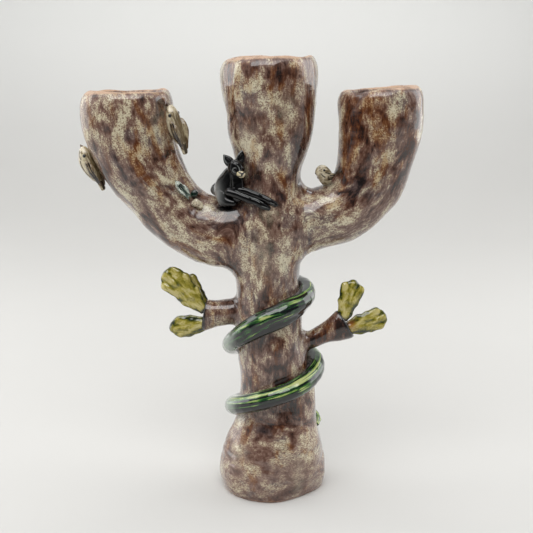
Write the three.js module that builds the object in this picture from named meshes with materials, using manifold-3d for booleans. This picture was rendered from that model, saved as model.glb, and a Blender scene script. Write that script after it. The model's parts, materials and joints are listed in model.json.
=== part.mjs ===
// A clay tree of life: a hand-built, glazed tree that stands on a swollen root base and carries three candle cups.
// A snake coils up the trunk, a black fox lies in the left crotch, and birds cling to the arms and cups.
// Millimetres, +Z up, the viewer's side is -Y. The origin is the middle of the foot's flat underside.
import * as THREE from "three";
import { mergeVertices } from "three/addons/utils/BufferGeometryUtils.js";
import Module from "manifold-3d";

const wasm = await Module();
wasm.setup();

// ---- Driving dimensions ----
const GAP = 0.3; // between neighbouring pieces of clay
const CORE = 16; // radius of the hollow that runs up the tree: the foot is left thick, so it stands firm
const FOOT_THICK = 7; // the slab that closes the underside
const FOOT_RADIUS = 27;
const VENT_RADIUS = 4; // lets air out of the hollow tree in the kiln
const VENT_OFFSET = 14; // from the middle of the slab
const CUP_TOPS = { left: 326, centre: 350, right: 327 };
const CUP_DEPTHS = { left: 38, centre: 45, right: 40 };
const CUP_BORES = { left: 25, centre: 27.5, right: 23 }; // radii
const CUP_MIDDLES = { left: [-111.2, 0], centre: [-2.6, 0], right: [81.5, 0] };
const LEAF_THICK = 4.4;
const LEAF_BEVEL = 1; // the rounding of a leaf's edge, on each face
const SNAKE_RADIUS = 8.6;
const SNAKE_STAND_OFF = 5.6; // from the trunk's surface to the middle of the snake
const SNAKE_SECTIONS = 14; // stations in one turn of the snake
const TAIL_TIP = 0.3; // the tip's share of the full radius
const TAIL_TURNS = 0.5; // how far round the tail tapers
const NECK = 0.78; // the neck's share of the full radius
const NECK_TURNS = 0.35; // how far round the neck tapers
const DEGREE = Math.PI / 180;
const UP = new THREE.Vector3(0, 0, 1);

// Stations along a limb are [x, y, z, half width, half depth].
const COLUMN = [
  [0, 0, 0, 37, 34],
  [0, 0, 5, 42, 38.5],
  [0, 0, 13, 44.6, 41],
  [-0.5, 0, 25, 44.2, 41],
  [0.7, 0, 38, 40.2, 38],
  [1.8, 0, 48, 36.8, 35],
  [3.2, 0, 60, 33.2, 32],
  [4, 0, 74, 31.2, 30],
  [3.8, 0, 86, 30, 29],
  [1.8, 0, 101, 28.8, 28],
  [-1, 0, 117, 28, 27.5],
  [-2.6, 0, 133, 27.4, 27],
  [-3.2, 0, 150, 27.6, 27],
  [-4.2, 0, 168, 26.4, 26.5],
  [-5.6, 0, 184, 27.4, 27],
  [-6, 0, 200, 29.5, 28],
  [-6, 0, 216, 31, 28.5],
  [-5, 0, 232, 29, 27.5],
  [-4, 0, 248, 25.6, 25.5],
  [-3.4, 0, 262, 24.6, 24.5],
  [-2.8, 0, 273, 26.3, 25.5],
  [-2, 0, 284, 29.4, 27.5],
  [-1.8, 0, 298, 32.8, 30.5],
  [-2, 0, 314, 34.6, 32.5],
  [-3.2, 0, 332, 36.6, 34],
  [-3.2, 0, CUP_TOPS.centre, 36.2, 34],
];
const BASE_TOP = 6; // station numbers where one piece of the column ends and the next begins
const TRUNK_TOP = 14;
const FORK_TOP = 18;
const CENTRE_CUP_FOOT = 22;

const LEFT_ARM = [
  [-8, 0, 216, 28.5, 24],
  [-30, 0, 215, 29.5, 25.5],
  [-50, 0, 218, 29, 26.5],
  [-71, 0, 230, 28.4, 26.5],
  [-87, 0, 245.5, 28.8, 26.5],
  [-99.5, 0, 264, 30.6, 28],
  [-107, 0, 283, 33.4, 30],
  [-111, 0, 303, 35.2, 31.5],
  [-112.8, 0, CUP_TOPS.left + 6, 34.8, 31.5],
];
const RIGHT_ARM = [
  [5, 0, 222, 26, 23.5],
  [20, 0, 223, 26.4, 23.5],
  [36, 0, 226, 25.2, 23.5],
  [52, 0, 231.5, 25.2, 23.5],
  [65, 0, 241.5, 25.8, 24],
  [75, 0, 257, 28, 25.5],
  [79.5, 0, 277, 29.6, 27],
  [81.6, 0, 300, 31.8, 28.5],
  [81.6, 0, CUP_TOPS.right + 6, 31.2, 28.5],
];
const CUP_FOOT = 5; // station number where an arm ends and its cup begins

const LEFT_TWIG = [
  [-22, 0, 150, 9.5, 9],
  [-34, -2, 149.6, 11, 9.5],
  [-45, -3, 149.4, 11.4, 8.8],
  [-56, -4, 149, 13.2, 8.4],
];
const RIGHT_TWIG = [
  [16, 0, 121, 8.5, 8.5],
  [28, -2, 126.5, 8.2, 8.2],
  [42, -3, 132.8, 9.4, 8],
  [60, -4, 142.4, 14, 7.8],
];

// Two small lumps on the front of the left arm.
const KNOT = { centre: [-59, -21.4, 241.6], sizes: [4.4, 3.6, 3.8] };
const BUD_PLACE = { centre: [-60.6, -17.6, 248.6], sizes: [3.2, 3.4, 3.2] };

// How high the snake's middle stands on its way from the tail's tip to the neck: [turns, height].
const SNAKE_CLIMB = [
  [0, 53],
  [0.25, 60],
  [0.5, 70],
  [0.75, 90],
  [1, 106],
  [1.25, 115],
  [1.5, 124],
  [1.75, 154],
  [2, 168.5],
  [2.28, 183],
];
const SNAKE_TURNS = SNAKE_CLIMB.at(-1)[0];

// ---- Finishes ----
const glaze = (color, roughness = 0.22) =>
  new THREE.MeshStandardMaterial({ color, roughness, metalness: 0 });
const BARK = glaze("#6d5346");
const BISQUE = glaze("#c9a387", 0.85);
const LEAF = glaze("#8f8b34");
const SNAKE = glaze("#1f4d22", 0.12);
const BLACK = glaze("#0b0b0d", 0.1);
const CREAM = glaze("#d8cba4");
const FEATHER = glaze("#9c927a");
const WING = glaze("#7d745f");
const EYE = glaze("#050506", 0.08);
const BUD = glaze("#0f2a22", 0.1);

// ---- Solids ----
function solidOf(geometry) {
  const bare = geometry.clone();
  bare.deleteAttribute("normal");
  bare.deleteAttribute("uv");
  const merged = mergeVertices(bare, 1e-4);
  return new wasm.Manifold(
    new wasm.Mesh({
      numProp: 3,
      vertProperties: merged.attributes.position.array,
      triVerts: new Uint32Array(merged.index.array),
    }),
  );
}

const curveOf = (points) => new THREE.CatmullRomCurve3(points, false, "catmullrom", 0.5);

// A closed oval tube through stations number `from` to `to`, made by bending a cylinder along them.
// The section's depth lies along `across`, and `grow` makes the tube fatter all round.
function limb(stations, options = {}) {
  const last = stations.length - 1;
  const { from = 0, to = last, grow = 0, sides = 20, steps = Math.ceil(to - from) } = options;
  const across = options.across ?? new THREE.Vector3(0, 1, 0);
  const path = curveOf(stations.map(([x, y, z]) => new THREE.Vector3(x, y, z)));
  const size = curveOf(stations.map(([, , , a, b]) => new THREE.Vector3(a, b, 0)));
  const bent = new THREE.CylinderGeometry(1, 1, 1, sides, steps);
  const position = bent.getAttribute("position");
  const point = new THREE.Vector3();
  for (let i = 0; i < position.count; i++) {
    point.fromBufferAttribute(position, i);
    const t = (from + (point.y + 0.5) * (to - from)) / last;
    const tangent = path.getTangent(t);
    const depth = across.clone().addScaledVector(tangent, -across.dot(tangent)).normalize();
    const width = depth.clone().cross(tangent);
    const { x: a, y: b } = size.getPoint(t);
    const spot = path
      .getPoint(t)
      .addScaledVector(width, point.x * (a + grow))
      .addScaledVector(depth, -point.z * (b + grow));
    position.setXYZ(i, spot.x, spot.y, spot.z);
  }
  return solidOf(bent);
}

// The station number that lies `distance` further along the path than station `number`.
function beyond(stations, number, distance) {
  const path = curveOf(stations.map(([x, y, z]) => new THREE.Vector3(x, y, z)));
  const last = stations.length - 1;
  const nearby = 0.01;
  const start = path.getPoint(number / last);
  const speed = path.getPoint((number + nearby) / last).distanceTo(start) / nearby;
  return number + distance / speed;
}

function placed(geometry, [x, y, z], [rx, ry, rz] = [0, 0, 0]) {
  const turn = new THREE.Quaternion().setFromEuler(
    new THREE.Euler(rx * DEGREE, ry * DEGREE, rz * DEGREE, "XYZ"),
  );
  const matrix = new THREE.Matrix4().compose(
    new THREE.Vector3(x, y, z),
    turn,
    new THREE.Vector3(1, 1, 1),
  );
  return solidOf(geometry.clone().applyMatrix4(matrix));
}

// An egg-shaped lump of clay with three half sizes.
function lump(centre, [a, b, c], { turn = [0, 0, 0], grow = 0, sides = 10 } = {}) {
  const rings = Math.ceil(sides * 0.6);
  const ball = new THREE.SphereGeometry(1, sides, rings);
  ball.scale(a + grow, b + grow, c + grow);
  return placed(ball, centre, turn);
}

// An upright cylinder from height `low` to height `high`.
function post([x, y], radius, low, high, sides = 24) {
  const cylinder = new THREE.CylinderGeometry(radius, radius, high - low, sides);
  cylinder.rotateX(Math.PI / 2);
  return placed(cylinder, [x, y, (low + high) / 2]);
}

// A slab that holds everything above a height, to trim a rim level.
function above(height) {
  const [wide, deep, thick] = [500, 300, 60];
  return placed(new THREE.BoxGeometry(wide, deep, thick), [0, 0, height + thick / 2]);
}

const largest = (solid) =>
  solid.decompose().reduce((best, body) => (body.volume() > best.volume() ? body : best));

// ---- The tree ----
const root = new THREE.Group();

function add(parent, name, solid, material) {
  const { numProp, numVert, vertProperties, triVerts } = largest(solid).getMesh();
  const xyz = new Float32Array(numVert * 3);
  for (let i = 0; i < numVert; i++) {
    xyz.set(vertProperties.subarray(i * numProp, i * numProp + 3), i * 3);
  }
  const geometry = new THREE.BufferGeometry()
    .setAttribute("position", new THREE.BufferAttribute(xyz, 3))
    .setIndex(new THREE.BufferAttribute(triVerts, 1));
  geometry.computeBoundingBox();
  const centre = geometry.boundingBox.getCenter(new THREE.Vector3());
  geometry.translate(-centre.x, -centre.y, -centre.z);
  const mesh = new THREE.Mesh(geometry, material);
  mesh.name = name;
  mesh.position.copy(centre);
  parent.add(mesh);
  return mesh;
}

// The round hollow in the middle of a limb.
const core = (stations, from, to) =>
  limb(stations.map(([x, y, z]) => [x, y, z, CORE, CORE]), { from, to, sides: 12 });

const PAST = 0.5; // how many stations a core runs out past each end

// A hollow stretch of a limb.
const tube = (stations, from, to) =>
  limb(stations, { from, to }).subtract(core(stations, from - PAST, to + PAST));

const column = limb(COLUMN, { grow: GAP });
const leftArm = limb(LEFT_ARM, { grow: GAP });
const rightArm = limb(RIGHT_ARM, { grow: GAP });
const leftTwig = limb(LEFT_TWIG, { grow: GAP, sides: 12 });
const rightTwig = limb(RIGHT_TWIG, { grow: GAP, sides: 12 });

function addColumn() {
  const vent = post([VENT_OFFSET, 0], VENT_RADIUS, -1, FOOT_THICK + 1, 16);
  add(root, "foot_slab", post([0, 0], FOOT_RADIUS, 0, FOOT_THICK).subtract(vent), BISQUE);

  const footSeat = post([0, 0], FOOT_RADIUS + GAP, -1, FOOT_THICK + GAP);
  const rootHollow = core(COLUMN, 1, BASE_TOP + PAST);
  const rootBase = limb(COLUMN, { to: BASE_TOP }).subtract(rootHollow).subtract(footSeat);
  add(root, "root_base", rootBase, BARK);

  const trunkFrom = beyond(COLUMN, BASE_TOP, GAP);
  add(root, "trunk", tube(COLUMN, trunkFrom, TRUNK_TOP), BARK);

  // The arms' hollows run on through the fork's wall, so the whole tree breathes through the foot.
  const armHollows = [LEFT_ARM, RIGHT_ARM].map((arm) => core(arm, 0.4, 3));
  const fork = armHollows.reduce(
    (solid, hollow) => solid.subtract(hollow),
    tube(COLUMN, beyond(COLUMN, TRUNK_TOP, GAP), FORK_TOP),
  );
  add(root, "fork", fork, BARK);

  const limbFrom = beyond(COLUMN, FORK_TOP, GAP);
  add(root, "centre_limb", tube(COLUMN, limbFrom, CENTRE_CUP_FOOT), BARK);
}

// A cup: the end of a limb, trimmed level, with a round well for a candle.
function addCup(side, stations, from) {
  const top = CUP_TOPS[side];
  const well = post(CUP_MIDDLES[side], CUP_BORES[side], top - CUP_DEPTHS[side], top + 1);
  const outside = limb(stations, { from: beyond(stations, from, GAP) });
  add(root, `${side}_cup`, outside.subtract(above(top)).subtract(well), BARK);
}

function addLimbs() {
  const armTube = (stations) => tube(stations, 1, CUP_FOOT).subtract(column);
  add(root, "left_arm", armTube(LEFT_ARM), BARK);
  add(root, "right_arm", armTube(RIGHT_ARM), BARK);
  addCup("left", LEFT_ARM, CUP_FOOT);
  addCup("right", RIGHT_ARM, CUP_FOOT);
  addCup("centre", COLUMN, CENTRE_CUP_FOOT);
  add(root, "left_twig", limb(LEFT_TWIG, { sides: 12 }).subtract(column), BARK);
  add(root, "right_twig", limb(RIGHT_TWIG, { sides: 12 }).subtract(column), BARK);
  add(root, "arm_knot", lump(KNOT.centre, KNOT.sizes).subtract(leftArm), BARK);
}

// ---- Leaves ----
// A leaf's outline runs along +X from its stalk. Its edge is given as [along, half width] pairs.
function leaf({ at, towards, edge, thick = LEAF_THICK }) {
  const side = (sign) => edge.map(([along, half]) => new THREE.Vector2(along, sign * half));
  const rim = new THREE.SplineCurve([...side(-1), ...side(1).reverse()]);
  const rimPoints = 16;
  const inset = 0.6 * LEAF_BEVEL;
  const depth = thick - 2 * LEAF_BEVEL;
  const geometry = new THREE.ExtrudeGeometry(new THREE.Shape(rim.getPoints(rimPoints)), {
    depth,
    bevelSize: inset,
    bevelThickness: LEAF_BEVEL,
    bevelSegments: 1,
    bevelOffset: -inset,
    curveSegments: 1,
  });
  geometry.translate(0, 0, -depth / 2);
  geometry.rotateX(Math.PI / 2);
  geometry.rotateY(-Math.atan2(towards[1] - at[2], towards[0] - at[0]));
  return placed(geometry, at);
}

const LEAVES = {
  left_upper_leaf: {
    at: [-55, -7, 153],
    towards: [-86, 189],
    edge: [[0, 2.5], [8, 7], [15, 10.5], [23, 10], [31, 12.4], [38, 12], [43, 7.5], [45, 2]],
  },
  left_back_leaf: {
    at: [-54, -1.5, 155],
    towards: [-70, 187],
    edge: [[0, 2.5], [10, 5.5], [20, 8], [28, 7.4], [34, 2]],
  },
  left_lower_leaf: {
    at: [-54, -5, 141],
    towards: [-83, 137.8],
    edge: [[0, 4], [9, 8.5], [17, 10], [24, 8], [29, 2.5]],
  },
  right_upper_leaf: {
    at: [57, -5, 147],
    towards: [66.5, 178],
    edge: [[0, 4], [9, 7.3], [18, 9.8], [26, 9.8], [33, 3]],
  },
  right_lower_leaf: {
    at: [61, -6, 138],
    towards: [91, 149.5],
    edge: [[0, 4.5], [9, 9.1], [18, 10], [26, 9], [33, 3]],
  },
};

function addLeaves() {
  const twigs = leftTwig.add(rightTwig);
  const done = [];
  for (const [name, shape] of Object.entries(LEAVES)) {
    const own = done.reduce((solid, other) => solid.subtract(other), leaf(shape).subtract(twigs));
    add(root, name, own, LEAF);
    done.push(leaf({ ...shape, thick: LEAF_THICK + 2 * GAP }));
  }
  add(root, "green_bud", lump(BUD_PLACE.centre, BUD_PLACE.sizes).subtract(leftArm), BUD);
}

// ---- The snake ----
// The column's middle and half sizes at a height.
function columnAt(height) {
  const upper = COLUMN.findIndex(([, , z]) => z >= height);
  const [low, high] = [COLUMN[upper - 1], COLUMN[upper]];
  const share = (height - low[2]) / (high[2] - low[2]);
  return low.map((value, i) => value + share * (high[i] - value));
}

const climb = curveOf(SNAKE_CLIMB.map(([turns, z]) => new THREE.Vector3(turns, z, 0)));

// The snake's middle line: it climbs anticlockwise seen from above, and starts at the right of the trunk.
function snakeAt(turns, standOff) {
  const knots = SNAKE_CLIMB.length - 1;
  const upper = Math.max(1, SNAKE_CLIMB.findIndex(([t]) => t >= turns - 1e-9));
  const [low, high] = [SNAKE_CLIMB[upper - 1], SNAKE_CLIMB[upper]];
  const z = climb.getPoint((upper - 1 + (turns - low[0]) / (high[0] - low[0])) / knots).y;
  const [x, y, , a, b] = columnAt(z);
  const angle = turns * 2 * Math.PI;
  return [x + (a + standOff) * Math.cos(angle), y + (b + standOff) * Math.sin(angle), z];
}

// The tail is pointed, the middle is full and the neck is a little slimmer.
function snakeRadius(turns) {
  const tail = Math.min(1, TAIL_TIP + (1 - TAIL_TIP) * Math.sqrt(turns / TAIL_TURNS));
  const neck = Math.min(1, NECK + (1 - NECK) * ((SNAKE_TURNS - turns) / NECK_TURNS));
  return SNAKE_RADIUS * tail * neck;
}

function snakeStations() {
  const count = Math.round(SNAKE_TURNS * SNAKE_SECTIONS);
  return Array.from({ length: count + 1 }, (_, i) => {
    const turns = (i / count) * SNAKE_TURNS;
    const r = snakeRadius(turns);
    return [...snakeAt(turns, SNAKE_STAND_OFF * (r / SNAKE_RADIUS)), r, r];
  });
}

function addSnake() {
  const stations = snakeStations();
  const keepClear = [column, leftTwig, rightTwig];
  const clear = (solid) => keepClear.reduce((rest, other) => rest.subtract(other), solid);
  const bodyOf = (grow) =>
    limb(stations, { sides: 10, steps: stations.length - 1, across: UP, grow });
  add(root, "snake_body", clear(bodyOf(0)), SNAKE);

  // The head lies on the back of the fork, ahead of the neck.
  const neck = new THREE.Vector3(...stations.at(-1).slice(0, 3));
  const before = new THREE.Vector3(...stations.at(-2).slice(0, 3));
  const forward = neck.clone().sub(before).normalize();
  const way = forward.add(new THREE.Vector3(0, 0, 0.25)); // it rises a little
  const along = (distance) => neck.clone().addScaledVector(way, distance);
  const headStations = [
    [GAP, 6.8, 6.8],
    [6, 8.2, 9.4],
    [12, 7.8, 10],
    [19, 5.8, 7.4],
    [25, 3, 3.8],
  ].map(([distance, half, deep]) => [...along(distance).toArray(), deep, half]);
  const outward = new THREE.Vector3(neck.x, neck.y, 0).normalize();
  const headOf = (grow) =>
    limb(headStations, { sides: 10, across: outward, grow });
  add(root, "snake_head", clear(headOf(0)).subtract(bodyOf(GAP)), SNAKE);
  const [eyeAlong, eyeOut, eyeRise, eyeRadius] = [14, 4.2, 5.6, 2];
  const { x, y, z } = along(eyeAlong).addScaledVector(outward, eyeOut);
  for (const [name, sign] of [["snake_eye_upper", 1], ["snake_eye_lower", -1]]) {
    const eyeSize = [eyeRadius, eyeRadius, eyeRadius];
    const eye = lump([x, y, z + sign * eyeRise], eyeSize, { sides: 8 });
    add(root, name, eye.subtract(headOf(GAP)), EYE);
  }
}

// ---- Animals ----
// A figure's pieces are listed in its own frame: +X is its face's way and +Z its back's way.
// Each piece is cut clear of the tree and of the pieces before it.
function addFigure(prefix, { position, face, back, scale = 1 }, pieces) {
  const x = new THREE.Vector3(...face).normalize();
  const y = new THREE.Vector3(...back).cross(x).normalize();
  const figure = new THREE.Group();
  figure.position.set(...position);
  figure.quaternion.setFromRotationMatrix(new THREE.Matrix4().makeBasis(x, y, x.clone().cross(y)));
  root.add(figure);
  figure.updateMatrixWorld(true);
  const inverse = figure.matrixWorld.clone().invert();
  const tree = column.add(leftArm).add(rightArm).transform(inverse.elements);
  const sized = (shape, grow) => shape(grow / scale).scale(scale);
  const before = [tree];
  for (const [name, material, shape] of pieces) {
    const own = before.reduce((solid, other) => solid.subtract(other), sized(shape, 0));
    add(figure, `${prefix}_${name}`, own, material);
    before.push(sized(shape, GAP));
  }
}

const PAIR = [
  ["left", 1],
  ["right", -1],
];

// Birds' bodies from tail to beak, in their own frames: +X towards the beak, +Z out of the back.
const SLENDER = [
  [-12, 0, 0.2, 1.8, 2.2],
  [-7, 0, -1, 4.2, 4.2],
  [-1, 0, -2, 5.7, 5.4],
  [5, 0, -2.2, 5.9, 5.6],
  [9.5, 0, -1, 5, 5],
  [12.5, 0, 0, 3.6, 3.6],
  [14.6, 0, 0.4, 2, 2],
];
const PLUMP = [
  [-4, 0, -10, 3, 3],
  [-2, 0, -6.5, 5.2, 5.2],
  [1.5, 0, -3.4, 6.4, 6.2],
  [5.5, 0, -0.4, 6.6, 6.4],
  [9.2, 0, 0.8, 5.4, 5.2],
  [12.4, 0, 0.4, 2.6, 2.6],
];

// `wingRise` and `eyeSide` say how high the wings lie and how far out the eyes stand.
function birdPieces({ build = SLENDER, wingRise = 1.4, eyeSide = 4.4, eyes = true, tail = true }) {
  const [noseX, , noseZ] = build.at(-1);
  const beakStations = [
    [noseX - 1.4, 0, noseZ, 2.6, 2.4],
    [noseX + 1.6, 0, noseZ - 0.3, 1.5, 1.4],
    [noseX + 4, 0, noseZ - 0.8, 0.4, 0.4],
  ];
  const tailStations = [
    [-8, 0, 0.2, 2.2, 3.2],
    [-14, 0, 0.2, 1.9, 2.8],
    [-21, 0, 0, 1.5, 3],
  ];
  const wing = (sign, grow) =>
    lump([-3, sign * 4.4, wingRise], [10, 2.2, 3.8], { turn: [sign * -24, 4, sign * 4], grow, sides: 8 });
  const eye = (sign, grow) =>
    lump([9.6, sign * eyeSide, 0.4], [1.35, 1.35, 1.35], { grow, sides: 8 });
  return [
    ["body", FEATHER, (grow) => limb(build, { sides: 10, grow })],
    ["beak", WING, (grow) => limb(beakStations, { sides: 6, grow })],
    ...(tail ? [["tail", WING, (grow) => limb(tailStations, { sides: 8, grow })]] : []),
    ...PAIR.map(([side, sign]) => [`wing_${side}`, WING, (grow) => wing(sign, grow)]),
    ...(eyes ? PAIR : []).map(([side, sign]) => [`eye_${side}`, EYE, (grow) => eye(sign, grow)]),
  ];
}

// The fox sits in the left crotch, its back to the left cup and its forelegs laid along the fork.
// Its frame has the tree's own axes, with the origin where it sits.
const FOX = {
  back: [
    [-1.5, 0, -3, 6, 7],
    [-1, 0, 4, 9, 9.5],
    [0.5, -1, 10, 8.4, 8.8],
    [3, -2.5, 16, 6.4, 7],
    [6, -5, 21, 4.8, 5.4],
  ],
  chest: [
    [8.4, -8.4, -2, 4, 4.4],
    [8.8, -8.8, 4, 5.2, 4.8],
    [9, -8.8, 10, 5.2, 4.8],
    [8.4, -8.6, 18, 4.8, 4.6],
  ],
  ear_left: [
    [4.8, -7.6, 24, 3.4, 2.3],
    [1.6, -7.6, 27.8, 3.6, 1.8],
    [-1.9, -7.4, 32, 0.8, 0.7],
  ],
  ear_right: [
    [9.6, -6.8, 26, 3.2, 2.3],
    [11, -6.6, 31, 3, 1.7],
    [12.7, -6.2, 36.4, 0.6, 0.6],
  ],
  foreleg_near: [
    [2, -10, 4.4, 3.6, 3.4],
    [11, -13.6, 1.6, 3.2, 3.2],
    [22, -15.2, -2.4, 3, 3],
    [28, -15.6, -5.4, 2.9, 2.9],
    [34, -15.4, -8.4, 1.6, 1.6],
  ],
  foreleg_far: [
    [7, -10, 6.6, 3.2, 3.2],
    [17, -13, 4.4, 2.9, 2.9],
    [27, -14.6, 0.8, 2.7, 2.7],
    [33.6, -15, -2.6, 2.7, 2.7],
    [39, -15, -5.4, 1.4, 1.4],
  ],
  haunch: [
    [-3, -5.5, 3, 5.4, 5],
    [-2, -8, -2.5, 4.8, 4.4],
    [6, -11, -4.2, 2.6, 2.6],
  ],
  tail: [
    [-6, 6, 1, 3.4, 3.4],
    [-10, 11, 3, 3.6, 3.6],
    [-7, 16, 6, 3.2, 3.2],
    [-1, 18.5, 9, 1.4, 1.4],
  ],
};

function foxPieces() {
  const part = (name, sides = 8) => [name, BLACK, (grow) => limb(FOX[name], { sides, grow })];
  const body = (grow) => limb(FOX.back, { sides: 12, grow }).add(limb(FOX.chest, { sides: 10, grow }));
  const eyeSize = [1.5, 1.5, 1.5];
  return [
    ["body", BLACK, body],
    ["head", BLACK, (grow) => lump([7.6, -9, 22.8], [6.7, 6.4, 6], { grow })],
    ["muzzle", CREAM, (grow) => lump([11, -14.4, 18.6], [3.6, 3.6, 2.8], { grow, sides: 8 })],
    part("ear_left"),
    part("ear_right"),
    ["eye_left", EYE, (grow) => lump([6.9, -14.6, 21.6], eyeSize, { grow, sides: 8 })],
    ["eye_right", EYE, (grow) => lump([12, -12.6, 23.2], eyeSize, { grow, sides: 8 })],
    part("foreleg_near"),
    part("foreleg_far"),
    part("haunch"),
    ["tail", BLACK, (grow) => limb(FOX.tail, { sides: 8, grow, across: UP })],
  ];
}

addColumn();
addLimbs();
addLeaves();
addSnake();
addFigure("fox", { position: [-36, -12, 246], face: [1, 0, 0], back: [0, 0, 1] }, foxPieces());
addFigure(
  "outer_bird",
  { position: [-140.6, -6, 267.4], face: [-0.42, 0, 0.907], back: [0.8, -0.45, 0.37] },
  birdPieces({}),
);
addFigure(
  "cup_bird",
  { position: [-73.6, -13.5, 298.6], face: [-0.3, 0, 0.95], back: [0.75, -0.62, 0.24], scale: 0.98 },
  birdPieces({}),
);
addFigure(
  "crotch_bird",
  { position: [41.2, -3.5, 261.2], face: [-0.8, -0.6, 0.02], back: [0.02, 0, 1], scale: 0.82 },
  birdPieces({ build: PLUMP, wingRise: -3.6, eyeSide: 5, tail: false }),
);
addFigure(
  "arm_bird",
  { position: [-69, -22.4, 251.6], face: [-0.6, 0, 0.75], back: [0.35, -0.9, 0.25], scale: 0.5 },
  birdPieces({ eyes: false, tail: false }),
);

export default root;
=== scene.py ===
"""A glazed clay tree of life, modelled as soft clay on grids of distances, and finished with procedural glazes.

Sizes in the modelling code are millimetres in the row frame: +Z up, the viewer's side at -Y.
"""
import json
import math
from collections import Counter

import bpy
import numpy as np
from mathutils import Euler, Matrix, Vector


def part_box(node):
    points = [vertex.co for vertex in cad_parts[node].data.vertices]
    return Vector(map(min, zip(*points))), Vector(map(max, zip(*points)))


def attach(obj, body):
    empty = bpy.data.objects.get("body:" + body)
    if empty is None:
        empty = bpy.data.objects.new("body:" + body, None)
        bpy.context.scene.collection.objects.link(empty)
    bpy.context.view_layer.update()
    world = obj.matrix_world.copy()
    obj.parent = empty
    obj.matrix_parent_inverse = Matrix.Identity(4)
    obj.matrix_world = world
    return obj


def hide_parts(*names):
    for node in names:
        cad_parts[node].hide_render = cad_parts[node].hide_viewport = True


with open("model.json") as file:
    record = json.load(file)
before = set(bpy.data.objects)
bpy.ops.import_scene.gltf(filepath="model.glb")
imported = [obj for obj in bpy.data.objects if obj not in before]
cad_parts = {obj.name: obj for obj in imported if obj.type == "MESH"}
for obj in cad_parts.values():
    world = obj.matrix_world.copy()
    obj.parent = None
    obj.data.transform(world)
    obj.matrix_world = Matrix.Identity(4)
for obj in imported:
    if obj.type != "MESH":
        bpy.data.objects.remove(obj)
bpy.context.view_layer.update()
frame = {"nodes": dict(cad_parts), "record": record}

MM = 0.001
FAR = 40.0  # a distance that means "nowhere near"
TREE_CELL = 1.25
LEAF_CELL = 0.55
SNAKE_CELL = 0.8
FIGURE_CELL = 0.42
SMALL_CELL = 0.35
EYE_CELL = 0.25


# ---- Shapes: a box that holds the shape, and a distance that is below 0 inside it ----
class Shape:
    def __init__(self, low, high, distance):
        self.low, self.high, self.distance = np.array(low, float), np.array(high, float), distance


def spline(stations, steps):
    """Catmull-Rom rows through the stations, with `steps` rows to each span."""
    p = np.array(stations, float)
    p = np.vstack([2 * p[0] - p[1], p, 2 * p[-1] - p[-2]])
    t = np.linspace(0, 1, steps, endpoint=False)[:, None]
    spans = []
    for a, b, c, d in zip(p, p[1:], p[2:], p[3:]):
        bend = (2 * a - 5 * b + 4 * c - d) * t**2 + (3 * b - a - 3 * c + d) * t**3
        spans.append(0.5 * (2 * b + (c - a) * t + bend))
    return np.vstack(spans + [p[-2:-1]])


def limb(stations, steps=4, margin=6.0):
    """A limb through stations [x, y, z, radius], or [x, y, z, radius, radius along Y]."""
    path = spline([[*s, s[3]] if len(s) == 4 else s for s in stations], steps)

    def distance(x, y, z):
        out = np.full(np.broadcast_shapes(x.shape, y.shape, z.shape), FAR, np.float32)
        for a, b in zip(path, path[1:]):
            reach = max(a[3], b[3], a[4], b[4]) + margin
            spans = tuple(
                slice(*np.searchsorted(axis.ravel(), [min(p, q) - reach, max(p, q) + reach]))
                for axis, p, q in zip((x, y, z), a, b)
            )
            squeeze = a[3] / a[4]
            dx = x[spans[0]] - a[0]
            dy = (y[:, spans[1]] - a[1]) * squeeze
            dz = z[:, :, spans[2]] - a[2]
            ax, ay, az = b[0] - a[0], (b[1] - a[1]) * squeeze, b[2] - a[2]
            t = np.clip((dx * ax + dy * ay + dz * az) / (ax * ax + ay * ay + az * az + 1e-9), 0, 1)
            gone = (dx - t * ax) ** 2 + (dy - t * ay) ** 2 + (dz - t * az) ** 2
            np.minimum(out[spans], np.sqrt(gone) - a[3] - t * (b[3] - a[3]), out=out[spans])
        return out

    reach = path[:, 3:5].max(1)[:, None]
    return Shape((path[:, :3] - reach).min(0), (path[:, :3] + reach).max(0), distance)


def egg(centre, sizes, turn=(0, 0, 0)):
    """An ellipsoid with three half sizes, turned by XYZ angles in degrees."""
    spin = np.array(Euler([math.radians(a) for a in turn]).to_matrix())
    sizes = np.array(sizes, float)

    def distance(x, y, z):
        u = [
            (spin[0, i] * (x - centre[0]) + spin[1, i] * (y - centre[1]) + spin[2, i] * (z - centre[2])) / sizes[i]
            for i in range(3)
        ]
        k = np.sqrt(u[0] ** 2 + u[1] ** 2 + u[2] ** 2)
        slope = np.sqrt((u[0] / sizes[0]) ** 2 + (u[1] / sizes[1]) ** 2 + (u[2] / sizes[2]) ** 2)
        return (k * (k - 1) / np.maximum(slope, 1e-6)).astype(np.float32)

    reach = np.abs(spin) @ sizes
    return Shape(np.array(centre) - reach, np.array(centre) + reach, distance)


def soft_min(a, b, soft):
    if not soft:
        return np.minimum(a, b)
    h = np.clip(0.5 + 0.5 * (b - a) / soft, 0, 1)
    return b + h * (a - b) - soft * h * (1 - h)


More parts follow.
